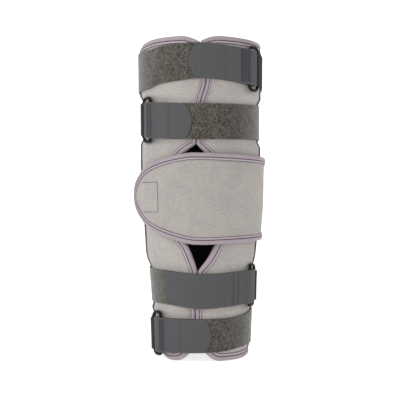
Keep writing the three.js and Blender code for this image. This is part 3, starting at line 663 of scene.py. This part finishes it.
class Finish:
    """A material on one Principled shader, with one method that adds any other node."""

    def __init__(self, name, roughness, **constants):
        self.material = bpy.data.materials.new(name)
        self.material.use_nodes = True
        self.tree = self.material.node_tree
        self.surface = next(n for n in self.tree.nodes if n.type == "BSDF_PRINCIPLED")
        self.surface.inputs["Roughness"].default_value = roughness
        for socket, value in constants.items():
            self.surface.inputs[socket.replace("_", " ")].default_value = value

    def node(self, kind, settings=None, inputs=None, output=0):
        made = self.tree.nodes.new(kind)
        for name, value in (settings or {}).items():
            setattr(made, name, value)
        for socket, value in (inputs or {}).items():
            if isinstance(value, Value):
                self.tree.links.new(value.socket, made.inputs[socket])
            else:
                made.inputs[socket].default_value = value
        return Value(self, made.outputs[output])

    def place(self, stretch=(1, 1, 1)):
        """The point on the piece, in metres of the row frame, times a stretch along each axis."""
        point = self.node("ShaderNodeTexCoord", output="Object")
        if stretch == (1, 1, 1):
            return point
        return self.node("ShaderNodeVectorMath", {"operation": "MULTIPLY"}, {0: point, 1: stretch})

    def noise(self, size, detail=2.0, roughness=0.5, stretch=(1, 1, 1)):
        """Even noise whose patches are about as large as size, in metres."""
        inputs = {"Vector": self.place(stretch), "Scale": 1 / size, "Detail": detail, "Roughness": roughness}
        return self.node("ShaderNodeTexNoise", None, inputs)

    def mark(self, name):
        """A number kept on the mesh's points."""
        return self.node("ShaderNodeAttribute", {"attribute_name": name}, output="Fac")

    def tint(self, share, first, second):
        """A colour between two, by share."""
        first, second = (end if isinstance(end, Value) else (*end, 1) for end in (first, second))
        inputs = {FACTOR: share, COLOUR_A: first, COLOUR_B: second}
        return self.node("ShaderNodeMix", {"data_type": "RGBA"}, inputs, output=2)

    def colour(self, value):
        self.tree.links.new(value.socket, self.surface.inputs["Base Color"])

    def relief(self, height, distance, strength=1.0):
        inputs = {"Height": height, "Distance": distance, "Strength": strength}
        self.tree.links.new(self.node("ShaderNodeBump", None, inputs).socket, self.surface.inputs["Normal"])


def shade(colour, factor):
    return tuple(min(1.0, c * factor) for c in colour)


def rib_rate():
    """Radians of rib for each millimetre along a tape."""
    return 2 * math.pi * MM / bpy.context.scene.brace_sizes.rib_pitch


def grained(name, colour, roughness, grain, dark, light, depth=0, **constants):
    """One fine grain in the colour and, where it has a depth, in the surface too."""
    finish = Finish(name, roughness, **constants)
    noise = finish.noise(*grain)
    finish.colour(finish.tint(noise, shade(colour, dark), shade(colour, light)))
    if depth:
        finish.relief(noise, depth, 0.5)


def foam_cloth(name, colour, factor):
    """Brushed knit: soft mottling, fine level fibres and a slight nap."""
    finish = Finish(name, 0.92, Sheen_Weight=0.12, Sheen_Roughness=0.6)
    colour = shade(colour, factor)
    grain = finish.noise(0.0026, 3.0, 0.7)
    courses = finish.noise(0.0075, 2.0, 0.6, (1, 1, 3.5))
    cloud = finish.noise(0.03, 2.0)
    share = 0.5 + (grain - 0.5) * 1.5 + (courses - 0.5) * 1.3 + (cloud - 0.5) * 1.0
    warm = (colour[0] * 1.16, colour[1] * 1.13, colour[2] * 1.08)
    finish.colour(finish.tint(share, shade(colour, 0.84), warm))
    finish.relief(grain * 0.6 + courses * 0.5, 0.0005, 0.7)


def tape_cloth(name, colour, lip, hem, sewn):
    """Woven edge tape with a faint rib, a dark seam line, a paler lip beyond it and, at its inner edge, a
    dark band that is partly the turned-under hem and partly painted shadow.
    """
    finish = Finish(name, 0.72, Sheen_Weight=0.12)
    grain = finish.noise(0.0012, 2.0, 0.6)
    cloud = finish.noise(0.02, 1.0)
    share = 0.5 + (grain - 0.5) * 1.1 + (cloud - 0.5) * 0.8
    cloth = finish.tint(share, shade(colour, 0.86), shade(colour, 1.12))
    deep = finish.mark("deep")
    cloth = finish.tint(deep.between(SEWN_AT, SEWN_AT + 0.02), cloth, lip)
    # Dark band at the tape's inner edge: the hem turned under, and painted shadow where the tape meets the
    # panel
    cloth = finish.tint(deep.between(0.86, 0.9), cloth, hem)
    seam = deep.between(SEWN_AT - 0.1, SEWN_AT - 0.06) * (1 - deep.between(SEWN_AT + 0.05, SEWN_AT + 0.09))
    finish.colour(finish.tint(seam * (grain.between(0.25, 0.5) * 0.3 + 0.7), cloth, sewn))
    finish.relief(grain, 0.0003, 0.6)


def pile_cloth(name, dark, light):
    """Loop pile: clumps of short loops, with painted shade in the hollows between them and painted light on
    their tips.
    """
    finish = Finish(name, 1.0, Sheen_Weight=0.6, Sheen_Roughness=0.4, Specular_IOR_Level=0.1)
    loops = finish.noise(0.0018, 3.0, 0.75)
    strands = finish.noise(0.0028, 3.0, 0.75, (1, 1, 0.6))
    clumps = finish.noise(0.014, 2.0, 0.6)
    height = loops * 0.6 + strands * 0.4
    # The colour follows the relief: painted shade where it is low, between the loops, and painted light where
    # it is high
    share = (height + (clumps - 0.5) * 0.12).between(0.4, 0.63)
    finish.colour(finish.tint(share, dark, light))
    finish.relief(height, 0.0018, 0.9)


def hook_cloth(name, colour, sewn, rim):
    """Smooth hook tape with ribs across it, faint streaks, a darker sewn place and a lighter sealed rim."""
    finish = Finish(name, 0.6, Specular_IOR_Level=0.22)
    along = finish.mark("along")
    ribs = (along * rib_rate()).sine() * 0.5 + 0.5
    streaks = finish.node(
        "ShaderNodeTexNoise", {"noise_dimensions": "1D"}, {"W": along * 0.5, "Scale": 1.0, "Detail": 2.0}
    )
    grain = finish.noise(0.0012, 2.0, 0.6)
    share = 0.5 + (ribs - 0.5) * 0.4 + (streaks - 0.5) * 0.9 + (grain - 0.5) * 1.2
    cloth = finish.tint(share, shade(colour, 0.84), shade(colour, 1.16))
    cloth = finish.tint(finish.mark("sewn"), cloth, sewn)
    edge = 1 - finish.mark("from_edge").between(0.4, 1.1)
    finish.colour(finish.tint(edge, cloth, rim))
    finish.relief(ribs * 0.4 + grain * 0.6, 0.00035, 0.6)


def webbing_cloth(name, colour):
    """Flat webbing: a fine basket weave."""
    finish = Finish(name, 0.85, Specular_IOR_Level=0.2)
    turns = rib_rate()
    weave = (finish.mark("along") * turns).sine() * (finish.mark("across") * turns).sine() * 0.5 + 0.5
    grain = finish.noise(0.0008, 2.0, 0.6)
    share = 0.35 + (weave - 0.5) * 0.5 + (grain - 0.5) * 0.8
    finish.colour(finish.tint(share, shade(colour, 0.75), shade(colour, 1.45)))
    finish.relief(weave * 0.6 + grain * 0.4, 0.0003, 0.8)


def moulded_plastic(name, colour):
    """Black moulded plastic with an uneven polish."""
    finish = Finish(name, 0.4, Specular_IOR_Level=0.12)
    haze = finish.noise(0.004, 3.0)
    rough = haze.between(0.2, 0.8) * 0.22 + 0.32
    finish.tree.links.new(rough.socket, finish.surface.inputs["Roughness"])
    finish.colour(finish.tint(haze, shade(colour, 0.7), shade(colour, 1.4)))
    finish.relief(finish.noise(0.0007, 2.0), 0.00006, 0.4)


def floor_paper(name, colour):
    """White ground that glows a little."""
    glow = {"Emission_Color": (1, 1, 1, 1), "Emission_Strength": 0.8}
    grained(name, colour, 0.9, (0.002, 2.0), 0.995, 1.005, Specular_IOR_Level=0.1, **glow)


# How each finish is made: its function, the colours of the panel that it takes, and its other arguments
THREAD = (0.6, (0.0005, 2.0), 0.7, 1.3, 0.0001)
FINISHES = {
    "foam_outer": (foam_cloth, "foam", 1),
    # The wrap's cloth is the foam cloth made a little darker: painted shade
    "wrap_outer": (foam_cloth, "foam", 0.95),
    "foam_lining": (grained, "lining", 0.95, (0.0012, 2.0, 0.6), 0.6, 1.5, 0.0003),
    "edge_tape": (tape_cloth, "tape tape_lip tape_hem thread"),
    "strap_pile": (pile_cloth, "pile_dark pile_light"),
    "hook_face": (hook_cloth, "hook sewn hook_rim"),
    "strap_backing": (hook_cloth, "backing sewn hook_rim"),
    "dark_webbing": (webbing_cloth, "webbing"),
    "strip_cloth": (webbing_cloth, "strip"),
    "seam_thread": (grained, "thread", *THREAD),
    "tab_thread": (grained, "tab_thread", *THREAD),
    "patch_thread": (grained, "patch_thread", *THREAD),
    "ring_black": (moulded_plastic, "ring"),
    "studio_floor": (floor_paper, "floor"),
}


def finish_named(name):
    """A finish of the brace, made once from the colours in the panel."""
    if name not in bpy.data.materials:
        maker, names, *others = FINISHES[name]
        colours = bpy.context.scene.brace_colours
        maker(name, *(getattr(colours, colour) for colour in names.split()), *others)
    return bpy.data.materials[name]


def length(label, description, default):
    return FloatProperty(name=label, description=description, default=default, min=0.0, unit="LENGTH")


def colour(label, description, default):
    return FloatVectorProperty(
        name=label, description=description, default=default, subtype="COLOR", size=3, min=0.0, max=1.0
    )


class BraceSizes(PropertyGroup):
    """Sizes of the brace."""

    overall_height: length("Overall height", "Height of the sleeve", round(cad_box[1][2] - cad_box[0][2], 3))
    thigh_half_width: length("Thigh half width", "Half the width of the sleeve at its top", 0.089)
    foam_thickness: length("Foam thickness", "Thickness of the foam laminate", 0.006)
    binding_width: length("Binding width", "Width of the folded tape on the panels", 0.0095)
    wrap_binding_width: length("Wrap binding width", "Width of the folded tape on the wrap", 0.0085)
    strip_width: length("Side strip width", "Width of the strips over the side seams", 0.031)
    strap_width: length("Strap width", "Width of the straps", 0.050)
    strap_thickness: length("Strap thickness", "Thickness of the pile bands", 0.002)
    tab_thickness: length("Tab thickness", "Thickness of the hook tabs and ring webbing", 0.0015)
    wire_diameter: length("Ring wire", "Thickness of the ring's bar", 0.0046)
    wrap_thickness: length("Wrap thickness", "Thickness of the knee wrap", 0.003)
    billow: length("Billow", "How far the cloth swells and dips", 0.0006)
    stitch_length: length("Stitch length", "Length of a stitch", 0.0032)
    stitch_gap: length("Stitch gap", "Gap between two stitches", 0.0005)
    thread_thickness: length("Thread", "Thickness of the sewing thread", 0.0012)
    rib_pitch: length("Rib pitch", "Spacing of the ribs on the hook tabs", 0.0026)


class BraceColours(PropertyGroup):
    """Colours of the brace and of the floor."""

    foam: colour("Foam cloth", "Outer cloth of the foam panels", (0.318, 0.300, 0.288))
    lining: colour("Lining", "Inner cloth of the foam panels", (0.010, 0.009, 0.009))
    tape: colour("Edge tape", "Folded tape on the edges", (0.285, 0.239, 0.261))
    tape_lip: colour("Tape lip", "Tape inside its stitch line", (0.335, 0.3, 0.317))
    # Colour of the tape's inner edge: partly the hem, partly painted shadow
    tape_hem: colour("Tape hem", "Inner edge of the tape", (0.125, 0.09, 0.115))
    # The pile's two colours are painted shade between the loops and painted light on their tips
    pile_dark: colour("Pile, deep", "Strap pile between its loops", (0.02, 0.018, 0.015))
    pile_light: colour("Pile, tips", "Strap pile at the tips of its loops", (0.142, 0.131, 0.114))
    hook: colour("Hook tab", "Smooth face of the tabs", (0.063, 0.064, 0.0665))
    backing: colour("Band backing", "Back of the pile bands", (0.064, 0.065, 0.0675))
    sewn: colour("Sewn place", "Tab where it is sewn down", (0.034, 0.032, 0.042))
    hook_rim: colour("Hook tab rim", "Sealed rim of the tabs", (0.09, 0.09, 0.094))
    webbing: colour("Ring webbing", "Webbing that holds the rings", (0.035, 0.033, 0.032))
    strip: colour("Side strip", "Strips over the side seams", (0.10, 0.095, 0.088))
    thread: colour("Seam thread", "Thread on the edge tape", (0.085, 0.04, 0.068))
    tab_thread: colour("Tab thread", "Thread on the tabs", (0.022, 0.020, 0.024))
    patch_thread: colour("Patch thread", "Thread round the wrap's patch", (0.085, 0.078, 0.076))
    ring: colour("Ring", "Moulded rings", (0.006, 0.006, 0.0065))
    floor: colour("Floor", "Studio floor", (0.5, 0.5, 0.5))


def sleeve_of(context):
    return Sleeve(context.scene.brace_sizes)


def front_name(side):
    return "left" if side < 0 else "right"


class BRACE_OT_panels(Operator):
    """Makes the two front foam panels and the back panel"""

    bl_idname = "brace.panels"
    bl_label = "Foam panels"

    def execute(self, context):
        sleeve = sleeve_of(context)
        across, up = np.linspace(0, 1, 84)[None, :], np.linspace(0, 1, 250)[:, None]
        back = np.linspace(STRIP_TURN, 360 - STRIP_TURN, 150)[None, :]
        grids = {
            "panel_left": sleeve.front_point(-1, across, up),
            "panel_right": sleeve.front_point(1, across, up),
            "panel_back": (back, sleeve.row_height(back, up)),
        }
        wall, finishes = sleeve.foam_thickness, ("foam_outer", "foam_lining")
        for node, (turn, z) in grids.items():
            out = sleeve.skin(turn, z)
            piece = laminate(node, "laminate", sleeve, turn, z, out, wall, finishes)
        return {"FINISHED"}


class BRACE_OT_bindings(Operator):
    """Makes the folded tape on the panels' edges, with its stitches"""

    bl_idname = "brace.bindings"
    bl_label = "Edge tape"

    def execute(self, context):
        sleeve = sleeve_of(context)
        wall = sleeve.foam_thickness
        edges = []
        for side in (-1, 1):
            top_end, bottom_end = (float(sleeve.front_point(side, 0.0, up)[0]) for up in (1.0, 0.0))
            top = np.linspace(side * STRIP_TURN, top_end, 120)
            bottom = np.linspace(bottom_end, side * STRIP_TURN, 120)
            runs = [
                (top, sleeve.top_edge(top)),
                sleeve.front_point(side, 0.0, np.linspace(1, 0, 500)),
                (bottom, sleeve.bottom_edge(bottom)),
            ]
            edges.append((f"binding_{front_name(side)}", runs, -side))
        back = np.linspace(STRIP_TURN, 360 - STRIP_TURN, 200)
        edges.append(("binding_back_top", [(back, sleeve.top_edge(back))], 1))
        edges.append(("binding_back_bottom", [(back, sleeve.bottom_edge(back))], -1))
        rows = []
        for node, runs, inward in edges:
            tape = Tape(
                sleeve, runs, inward, sleeve.binding_width, wall, lambda turn, z: sleeve.skin(turn, z) - wall
            )
            tape.piece(node)
            rows += [tape.stitch_row(wall + SEWN_LIFT), tape.stitch_row(-SEWN_LIFT)]
        stitched("binding_stitches", rows, "seam_thread", sleeve)
        return {"FINISHED"}


class BRACE_OT_side_strips(Operator):
    """Makes the textile strips over the side seams, with a stitch line along each edge"""

    bl_idname = "brace.side_strips"
    bl_label = "Side strips"

    def execute(self, context):
        sleeve = sleeve_of(context)
        rows = []
        share = np.linspace(-1, 1, 26)[None, :]
        half = float(sleeve.turn_of(sleeve.strip_width / 2, sleeve.height / 2))
        crown = 0.5 + 0.9 * (1 - np.abs(share) ** 6)
        groove = 0.35 * np.exp(-(((np.abs(share) - STRIP_SEWN_AT) / 0.035) ** 2))
        end_gap = sleeve.binding_width - 1
        for side in (-1, 1):
            turn = side * STRIP_TURN + half * share
            low, high = sleeve.bottom_edge(turn) + end_gap, sleeve.top_edge(turn) - end_gap
            z = mix(low, high, np.linspace(0, 1, 240)[:, None])
            out = sleeve.skin(turn, z) + crown - groove
            marks = {"along": z, "across": np.broadcast_to(share * sleeve.strip_width / 2, z.shape)}
            node, finishes = f"side_strip_{front_name(side)}", ["strip_cloth"]
            laminate(node, "textile", sleeve, turn, z, out, STRIP_THICKNESS, finishes, marks)
            for at in (-STRIP_SEWN_AT, STRIP_SEWN_AT):
                turn, gap = side * STRIP_TURN + half * at, end_gap + 1
                z = np.linspace(sleeve.bottom_edge(turn) + gap, sleeve.top_edge(turn) - gap, 400)
                rows.append(sleeve.seam(turn, z, sleeve.skin(turn, z) + 1.05))
        stitched("side_strip_stitches", rows, "tab_thread", sleeve, 0.6)
        return {"FINISHED"}


class BRACE_OT_straps(Operator):
    """Makes the four pile bands, each round the leg, through its ring and back on itself"""

    bl_idname = "brace.straps"
    bl_label = "Pile bands"

    def execute(self, context):
        sleeve = sleeve_of(context)
        columns = 34
        for strap in sleeve.straps:
            sewn = strap.rear_turn + strap.ring_side * (RING_TAB_LENGTH + 2 * LAYER_GAP) * strap.per_mm
            full = (360 - abs(sewn - strap.front_turn)) / strap.per_mm
            low = np.linspace(full, 1.5, int(full / BAND_STEP))
            bend = np.linspace(-math.pi / 2, math.pi / 2, 22)
            high = np.linspace(0, FOLD_LENGTH * strap.fold, 26)[1:]
            turns = strap.turn_back(np.concatenate([low, -(FOLD_REACH + strap.bend * np.cos(bend)), high]))
            round_bar = strap.bar_lift + strap.bend * np.sin(bend)
            lifts = np.concatenate([np.full(len(low), strap.low), round_bar, strap.folded_lift(high)])
            rings, marks = strap.ribbon(
                turns, lifts, sleeve.strap_thickness, columns, rough=PILE_ROUGH, seed=strap.number
            )
            backing = (np.arange(2 * columns) < columns) != (strap.ring_side > 0)
            face_finish = np.tile(backing, len(rings) - 1)
            node, finishes = f"strap_{strap.number}", ("strap_pile", "strap_backing")
            piece = dressed(node, "band", rings, finishes, face_finish, marks)
            width = 2 * float(np.mean(strap.half(strap.turn_back(low)))) * MM
        return {"FINISHED"}


class BRACE_OT_hook_tabs(Operator):
    """Makes the four hook tabs with their round ends and stitch lines"""

    bl_idname = "brace.hook_tabs"
    bl_label = "Hook tabs"

    def execute(self, context):
        sleeve = sleeve_of(context)
        thick = sleeve.tab_thickness
        step_down = sleeve.strap_thickness + LAYER_GAP
        on_fold = sleeve.strap_thickness / 2 + LAYER_GAP + thick / 2

        def lift_at(strap, back):
            past_fold = back - FOLD_LENGTH * strap.fold - sleeve.strap_thickness
            return strap.folded_lift(back) + on_fold - step_down * smoothstep(past_fold / TAB_STEP_DOWN)

        rows = []
        for strap in sleeve.straps:
            reach = abs(strap.front_turn - strap.tab_end_turn) / strap.per_mm
            depth = strap.end_depth * sleeve.strap_width
            start = FOLD_LENGTH * strap.tab_start
            straight = np.linspace(start, reach - depth, int((reach - depth - start) / TAB_STEP))
            round_end = np.sin(np.radians(np.linspace(0, 88.5, 36))[1:])
            backs = np.concatenate([straight, reach - depth * (1 - round_end)])
            narrowing = (1 - round_end**strap.end_power) ** (1 / strap.end_power)
            width = np.concatenate([np.ones(len(straight)), narrowing])
            rings, marks = strap.ribbon(
                strap.turn_back(backs), lift_at(strap, backs), thick, columns=30, width=width, inset=width
            )
            marks["from_edge"] = np.minimum(marks["from_edge"], (reach - backs)[:, None])
            begun, ended = ((backs - at) / 1.5 for at in (strap.stitch_from - 1.5, strap.stitch_to))
            sewn = smoothstep(begun) - smoothstep(ended)
            marks["sewn"] = np.broadcast_to(strap.sewn_shade * sewn[:, None], marks["along"].shape)
            node = f"hook_tab_{strap.number}"
            piece = dressed(node, "tape", rings, ["hook_face"], marks=marks)
            flat = (2 * float(strap.half(strap.tab_end_turn)) * MM, float(marks["along"].max()) * MM)
            for back in (strap.stitch_from, strap.stitch_to):
                lift = lift_at(strap, back) + thick / 2 + THREAD_LIFT
                rows.append(strap.stitch_line(strap.turn_back(back), lift))
        stitched("hook_tab_stitches", rows, "tab_thread", sleeve, 0.8)
        return {"FINISHED"}


class BRACE_OT_rings(Operator):
    """Makes the four rings of round bar"""

    bl_idname = "brace.rings"
    bl_label = "Rings"

    def execute(self, context):
        sleeve = sleeve_of(context)
        for strap in sleeve.straps:
            level = float(strap.middle(strap.front_turn))
            reach = float(strap.half(strap.front_turn)) * RING_TAB_SHARE
            turns = np.array([strap.front_turn, strap.rear_turn])
            above = sleeve.place(turns, level + reach, strap.bar_lift)
            below = sleeve.place(turns, level - reach, strap.bar_lift)
            upright = (above - below).sum(0)
            front, rear = (above + below) / 2 + np.array([0, 0, strap.ring_z - level])
            half_across = np.linalg.norm(rear - front) / 2
            across = unit(rear - front)
            facing = unit(np.cross(across, upright))
            upward = np.cross(facing, across)
            half_up = float(strap.half(strap.front_turn)) + RING_SIDE_GAP + sleeve.wire_radius
            corner = min(half_across * RING_ROUNDING, half_up / 2)
            bar = np.linspace(0, 2 * math.pi, 16, endpoint=False)[:, None]
            middle, rings = (front + rear) / 2, []
            for sx, sy, first in ((1, 1, 0), (-1, 1, 90), (-1, -1, 180), (1, -1, 270)):
                for angle in np.radians(np.linspace(first, first + 90, 10)):
                    outward = across * np.cos(angle) + upward * np.sin(angle)
                    centre = middle + across * sx * (half_across - corner) + upward * sy * (half_up - corner)
                    section = outward * np.cos(bar) + facing * np.sin(bar)
                    rings.append(centre + outward * corner + sleeve.wire_radius * section)
            node = f"ring_{strap.number}"
            dressed(node, "bar", np.array(rings), ["ring_black"], looped=True)
        return {"FINISHED"}


class BRACE_OT_ring_tabs(Operator):
    """Makes the webbing loops that hold the rings, with their stitches"""

    bl_idname = "brace.ring_tabs"
    bl_label = "Ring webbing"

    def execute(self, context):
        sleeve = sleeve_of(context)
        rows = []
        thick = sleeve.tab_thickness
        radius = sleeve.wire_radius + WIRE_CLEARANCE + thick / 2
        bend = -math.pi / 2 - np.linspace(0, 1, 20) * math.pi
        under, over = np.linspace(RING_TAB_LENGTH, 4, 14), np.linspace(1.5, RING_TAB_LENGTH, 20)
        ahead = np.concatenate([under, radius * np.cos(bend), over])
        for strap in sleeve.straps:
            low = strap.overlay + thick / 2
            high = low + thick + LAYER_GAP
            fall = (strap.bar_lift + radius - high) * (1 - smoothstep((over - 1) / 12))
            round_bar = strap.bar_lift + radius * np.sin(bend)
            lifts = np.concatenate([np.full(len(under), low), round_bar, high + fall])
            turns = strap.rear_turn + strap.ring_side * ahead * strap.per_mm
            rings, marks = strap.ribbon(turns, lifts, thick, columns=24, width=RING_TAB_SHARE)
            node = f"ring_tab_{strap.number}"
            dressed(node, "webbing", rings, ["dark_webbing"], marks=marks)
            for at in RING_TAB_STITCHES:
                turn = strap.rear_turn + strap.ring_side * at * strap.per_mm
                rows.append(strap.stitch_line(turn, high + thick / 2 + THREAD_LIFT, RING_TAB_SHARE))
        stitched("ring_tab_stitches", rows, "seam_thread", sleeve, 0.65)
        return {"FINISHED"}


class BRACE_OT_wrap(Operator):
    """Makes the knee wrap with its bound edge, stitched patch outline and the hook patch under its tip"""

    bl_idname = "brace.wrap"
    bl_label = "Knee wrap"

    def execute(self, context):
        sleeve = sleeve_of(context)
        thick = sleeve.wrap_thickness
        onward = np.linspace(WRAP_TIP_TURN + WRAP_TAPER_TURN, WRAP_RIGHT_TURN, 100)
        taper = WRAP_TIP_TURN + WRAP_TAPER_TURN * np.linspace(0.04, 1, 90) ** 2
        turn = np.concatenate([taper, onward[1:]])[None, :]
        z = sleeve.wrap_height(turn, np.linspace(-1, 1, 84)[:, None])
        out, finishes = sleeve.wrap_skin(turn, z), ("wrap_outer", "foam_lining")
        piece = laminate("knee_wrap", "laminate", sleeve, turn, z, out, thick, finishes)

        reach = np.concatenate([-np.linspace(1, 0, 120), np.linspace(0, 1, 120)[1:]])
        edge_turn = np.concatenate([onward[::-1], WRAP_TIP_TURN + WRAP_TAPER_TURN * reach**2, onward[1:]])
        sign = np.concatenate([np.ones(len(onward)), -np.sign(reach), -np.ones(len(onward) - 1)])
        run = (edge_turn, sleeve.wrap_height(edge_turn, sign))
        width = sleeve.wrap_binding_width
        tape = Tape(sleeve, [run], -1, width, thick, lambda turn, z: sleeve.wrap_lift(turn), ease=4)
        tape.piece("knee_wrap_binding")
        stitched("wrap_binding_stitches", [tape.stitch_row(thick + SEWN_LIFT)], "seam_thread", sleeve)

        def on_wrap(turn, z):
            return sleeve.seam(turn, z, sleeve.wrap_skin(turn, z) + 2 * THREAD_LIFT)

        across, upright = np.linspace(PATCH_LEFT, PATCH_RIGHT, 100), np.linspace(PATCH_LOW, PATCH_HIGH, 100)
        outline = [
            on_wrap(across, np.full(100, PATCH_HIGH)),
            on_wrap(np.full(100, PATCH_RIGHT), upright),
            on_wrap(across, np.full(100, PATCH_LOW)),
        ]
        stitched("wrap_patch_stitches", outline, "patch_thread", sleeve, 0.8)
        end = np.full(100, WRAP_RIGHT_TURN - 3)
        end_row = on_wrap(end, sleeve.wrap_height(end, np.linspace(-0.86, 0.86, 100)))
        stitched("wrap_end_stitches", [end_row], "patch_thread", sleeve, 0.8)

        turn = np.linspace(PATCH_FROM, PATCH_TO, 30)[None, :]
        z = sleeve.wrap_middle + PATCH_HEIGHT * np.linspace(-0.5, 0.5, 40)[:, None]
        z = np.broadcast_to(z, (40, 30))
        marks = {"along": np.broadcast_to(turn * 1.5, z.shape), "from_edge": np.full(z.shape, 5.0)}
        out, thick, finishes = sleeve.skin(turn, z) + PATCH_LIFT, PATCH_THICKNESS, ["hook_face"]
        laminate("wrap_hook_patch", "face", sleeve, turn, z, out, thick, finishes, marks)
        return {"FINISHED"}


class BRACE_OT_stage(Operator):
    """Makes the pale floor, the soft light and the camera at the photograph's angle"""

    bl_idname = "brace.stage"
    bl_label = "Stage"

    def execute(self, context):
        scene = context.scene
        scene.view_settings.view_transform = "Standard"
        angle = np.linspace(0, 2 * math.pi, 96, endpoint=False)
        swing = np.radians(np.linspace(0, 90, 14))
        edge = FLOOR_FLAT + FLOOR_RISE
        radii = np.concatenate([[0.02, 0.6, 1.5], FLOOR_FLAT + FLOOR_RISE * np.sin(swing), [edge]])[:, None]
        heights = np.concatenate([[0, 0, 0], FLOOR_RISE * (1 - np.cos(swing)), [FLOOR_WALL]])[:, None]
        rings = np.stack(np.broadcast_arrays(radii * np.cos(angle), radii * np.sin(angle), heights), -1)
        quads, ends = swept_faces(rings)
        floor = new_object("studio_floor", rings / MM, quads, ends[:1], ["studio_floor"])
        floor.location.z = -FLOOR_DROP

        world = bpy.data.worlds.new("studio_air")
        world.use_nodes = True
        air = next(node for node in world.node_tree.nodes if node.type == "BACKGROUND")
        air.inputs["Color"].default_value = (1, 1, 1, 1)
        air.inputs["Strength"].default_value = AIR_STRENGTH
        scene.world = world

        for name, at, size, power in LAMPS:
            light = bpy.data.lights.new(name, "AREA")
            light.shape = "DISK"
            light.size = size
            light.energy = power
            lamp = bpy.data.objects.new(name, light)
            lamp.location = at
            aim = Vector(LAMP_TARGET) - Vector(at)
            lamp.rotation_mode = "QUATERNION"
            lamp.rotation_quaternion = aim.to_track_quat("-Z", "Y")
            scene.collection.objects.link(lamp)

        camera = bpy.data.cameras.new("front_camera")
        camera.sensor_width = 36
        camera.lens = CAMERA_LENS
        camera.clip_end = 20
        eye = bpy.data.objects.new("front_camera", camera)
        eye.location = CAMERA_AT
        eye.rotation_euler = (math.pi / 2, 0, 0)
        scene.collection.objects.link(eye)
        scene.camera = eye
        return {"FINISHED"}


PIECES = (
    BRACE_OT_panels,
    BRACE_OT_bindings,
    BRACE_OT_side_strips,
    BRACE_OT_straps,
    BRACE_OT_hook_tabs,
    BRACE_OT_rings,
    BRACE_OT_ring_tabs,
    BRACE_OT_wrap,
    BRACE_OT_stage,
)


class BRACE_PT_sidebar(Panel):
    """Sizes, colours and pieces of the brace"""

    bl_label = "Knee immobilizer"
    bl_idname = "BRACE_PT_sidebar"
    bl_space_type = "VIEW_3D"
    bl_region_type = "UI"
    bl_category = "Brace"

    def draw(self, context):
        layout = self.layout
        for group in (context.scene.brace_sizes, context.scene.brace_colours):
            box = layout.box()
            for name in group.__annotations__:
                box.prop(group, name)
        for operator in PIECES:
            layout.operator(operator.bl_idname)


CLASSES = (BraceSizes, BraceColours, *PIECES, BRACE_PT_sidebar)


def register():
    for made in CLASSES:
        bpy.utils.register_class(made)
    bpy.types.Scene.brace_sizes = PointerProperty(type=BraceSizes)
    bpy.types.Scene.brace_colours = PointerProperty(type=BraceColours)


def unregister():
    del bpy.types.Scene.brace_colours
    del bpy.types.Scene.brace_sizes
    for made in reversed(CLASSES):
        bpy.utils.unregister_class(made)


def main():
    register()
    for operator in PIECES:
        group, name = operator.bl_idname.split(".")
        getattr(getattr(bpy.ops, group), name)()


if __name__ == "__main__":
    main()
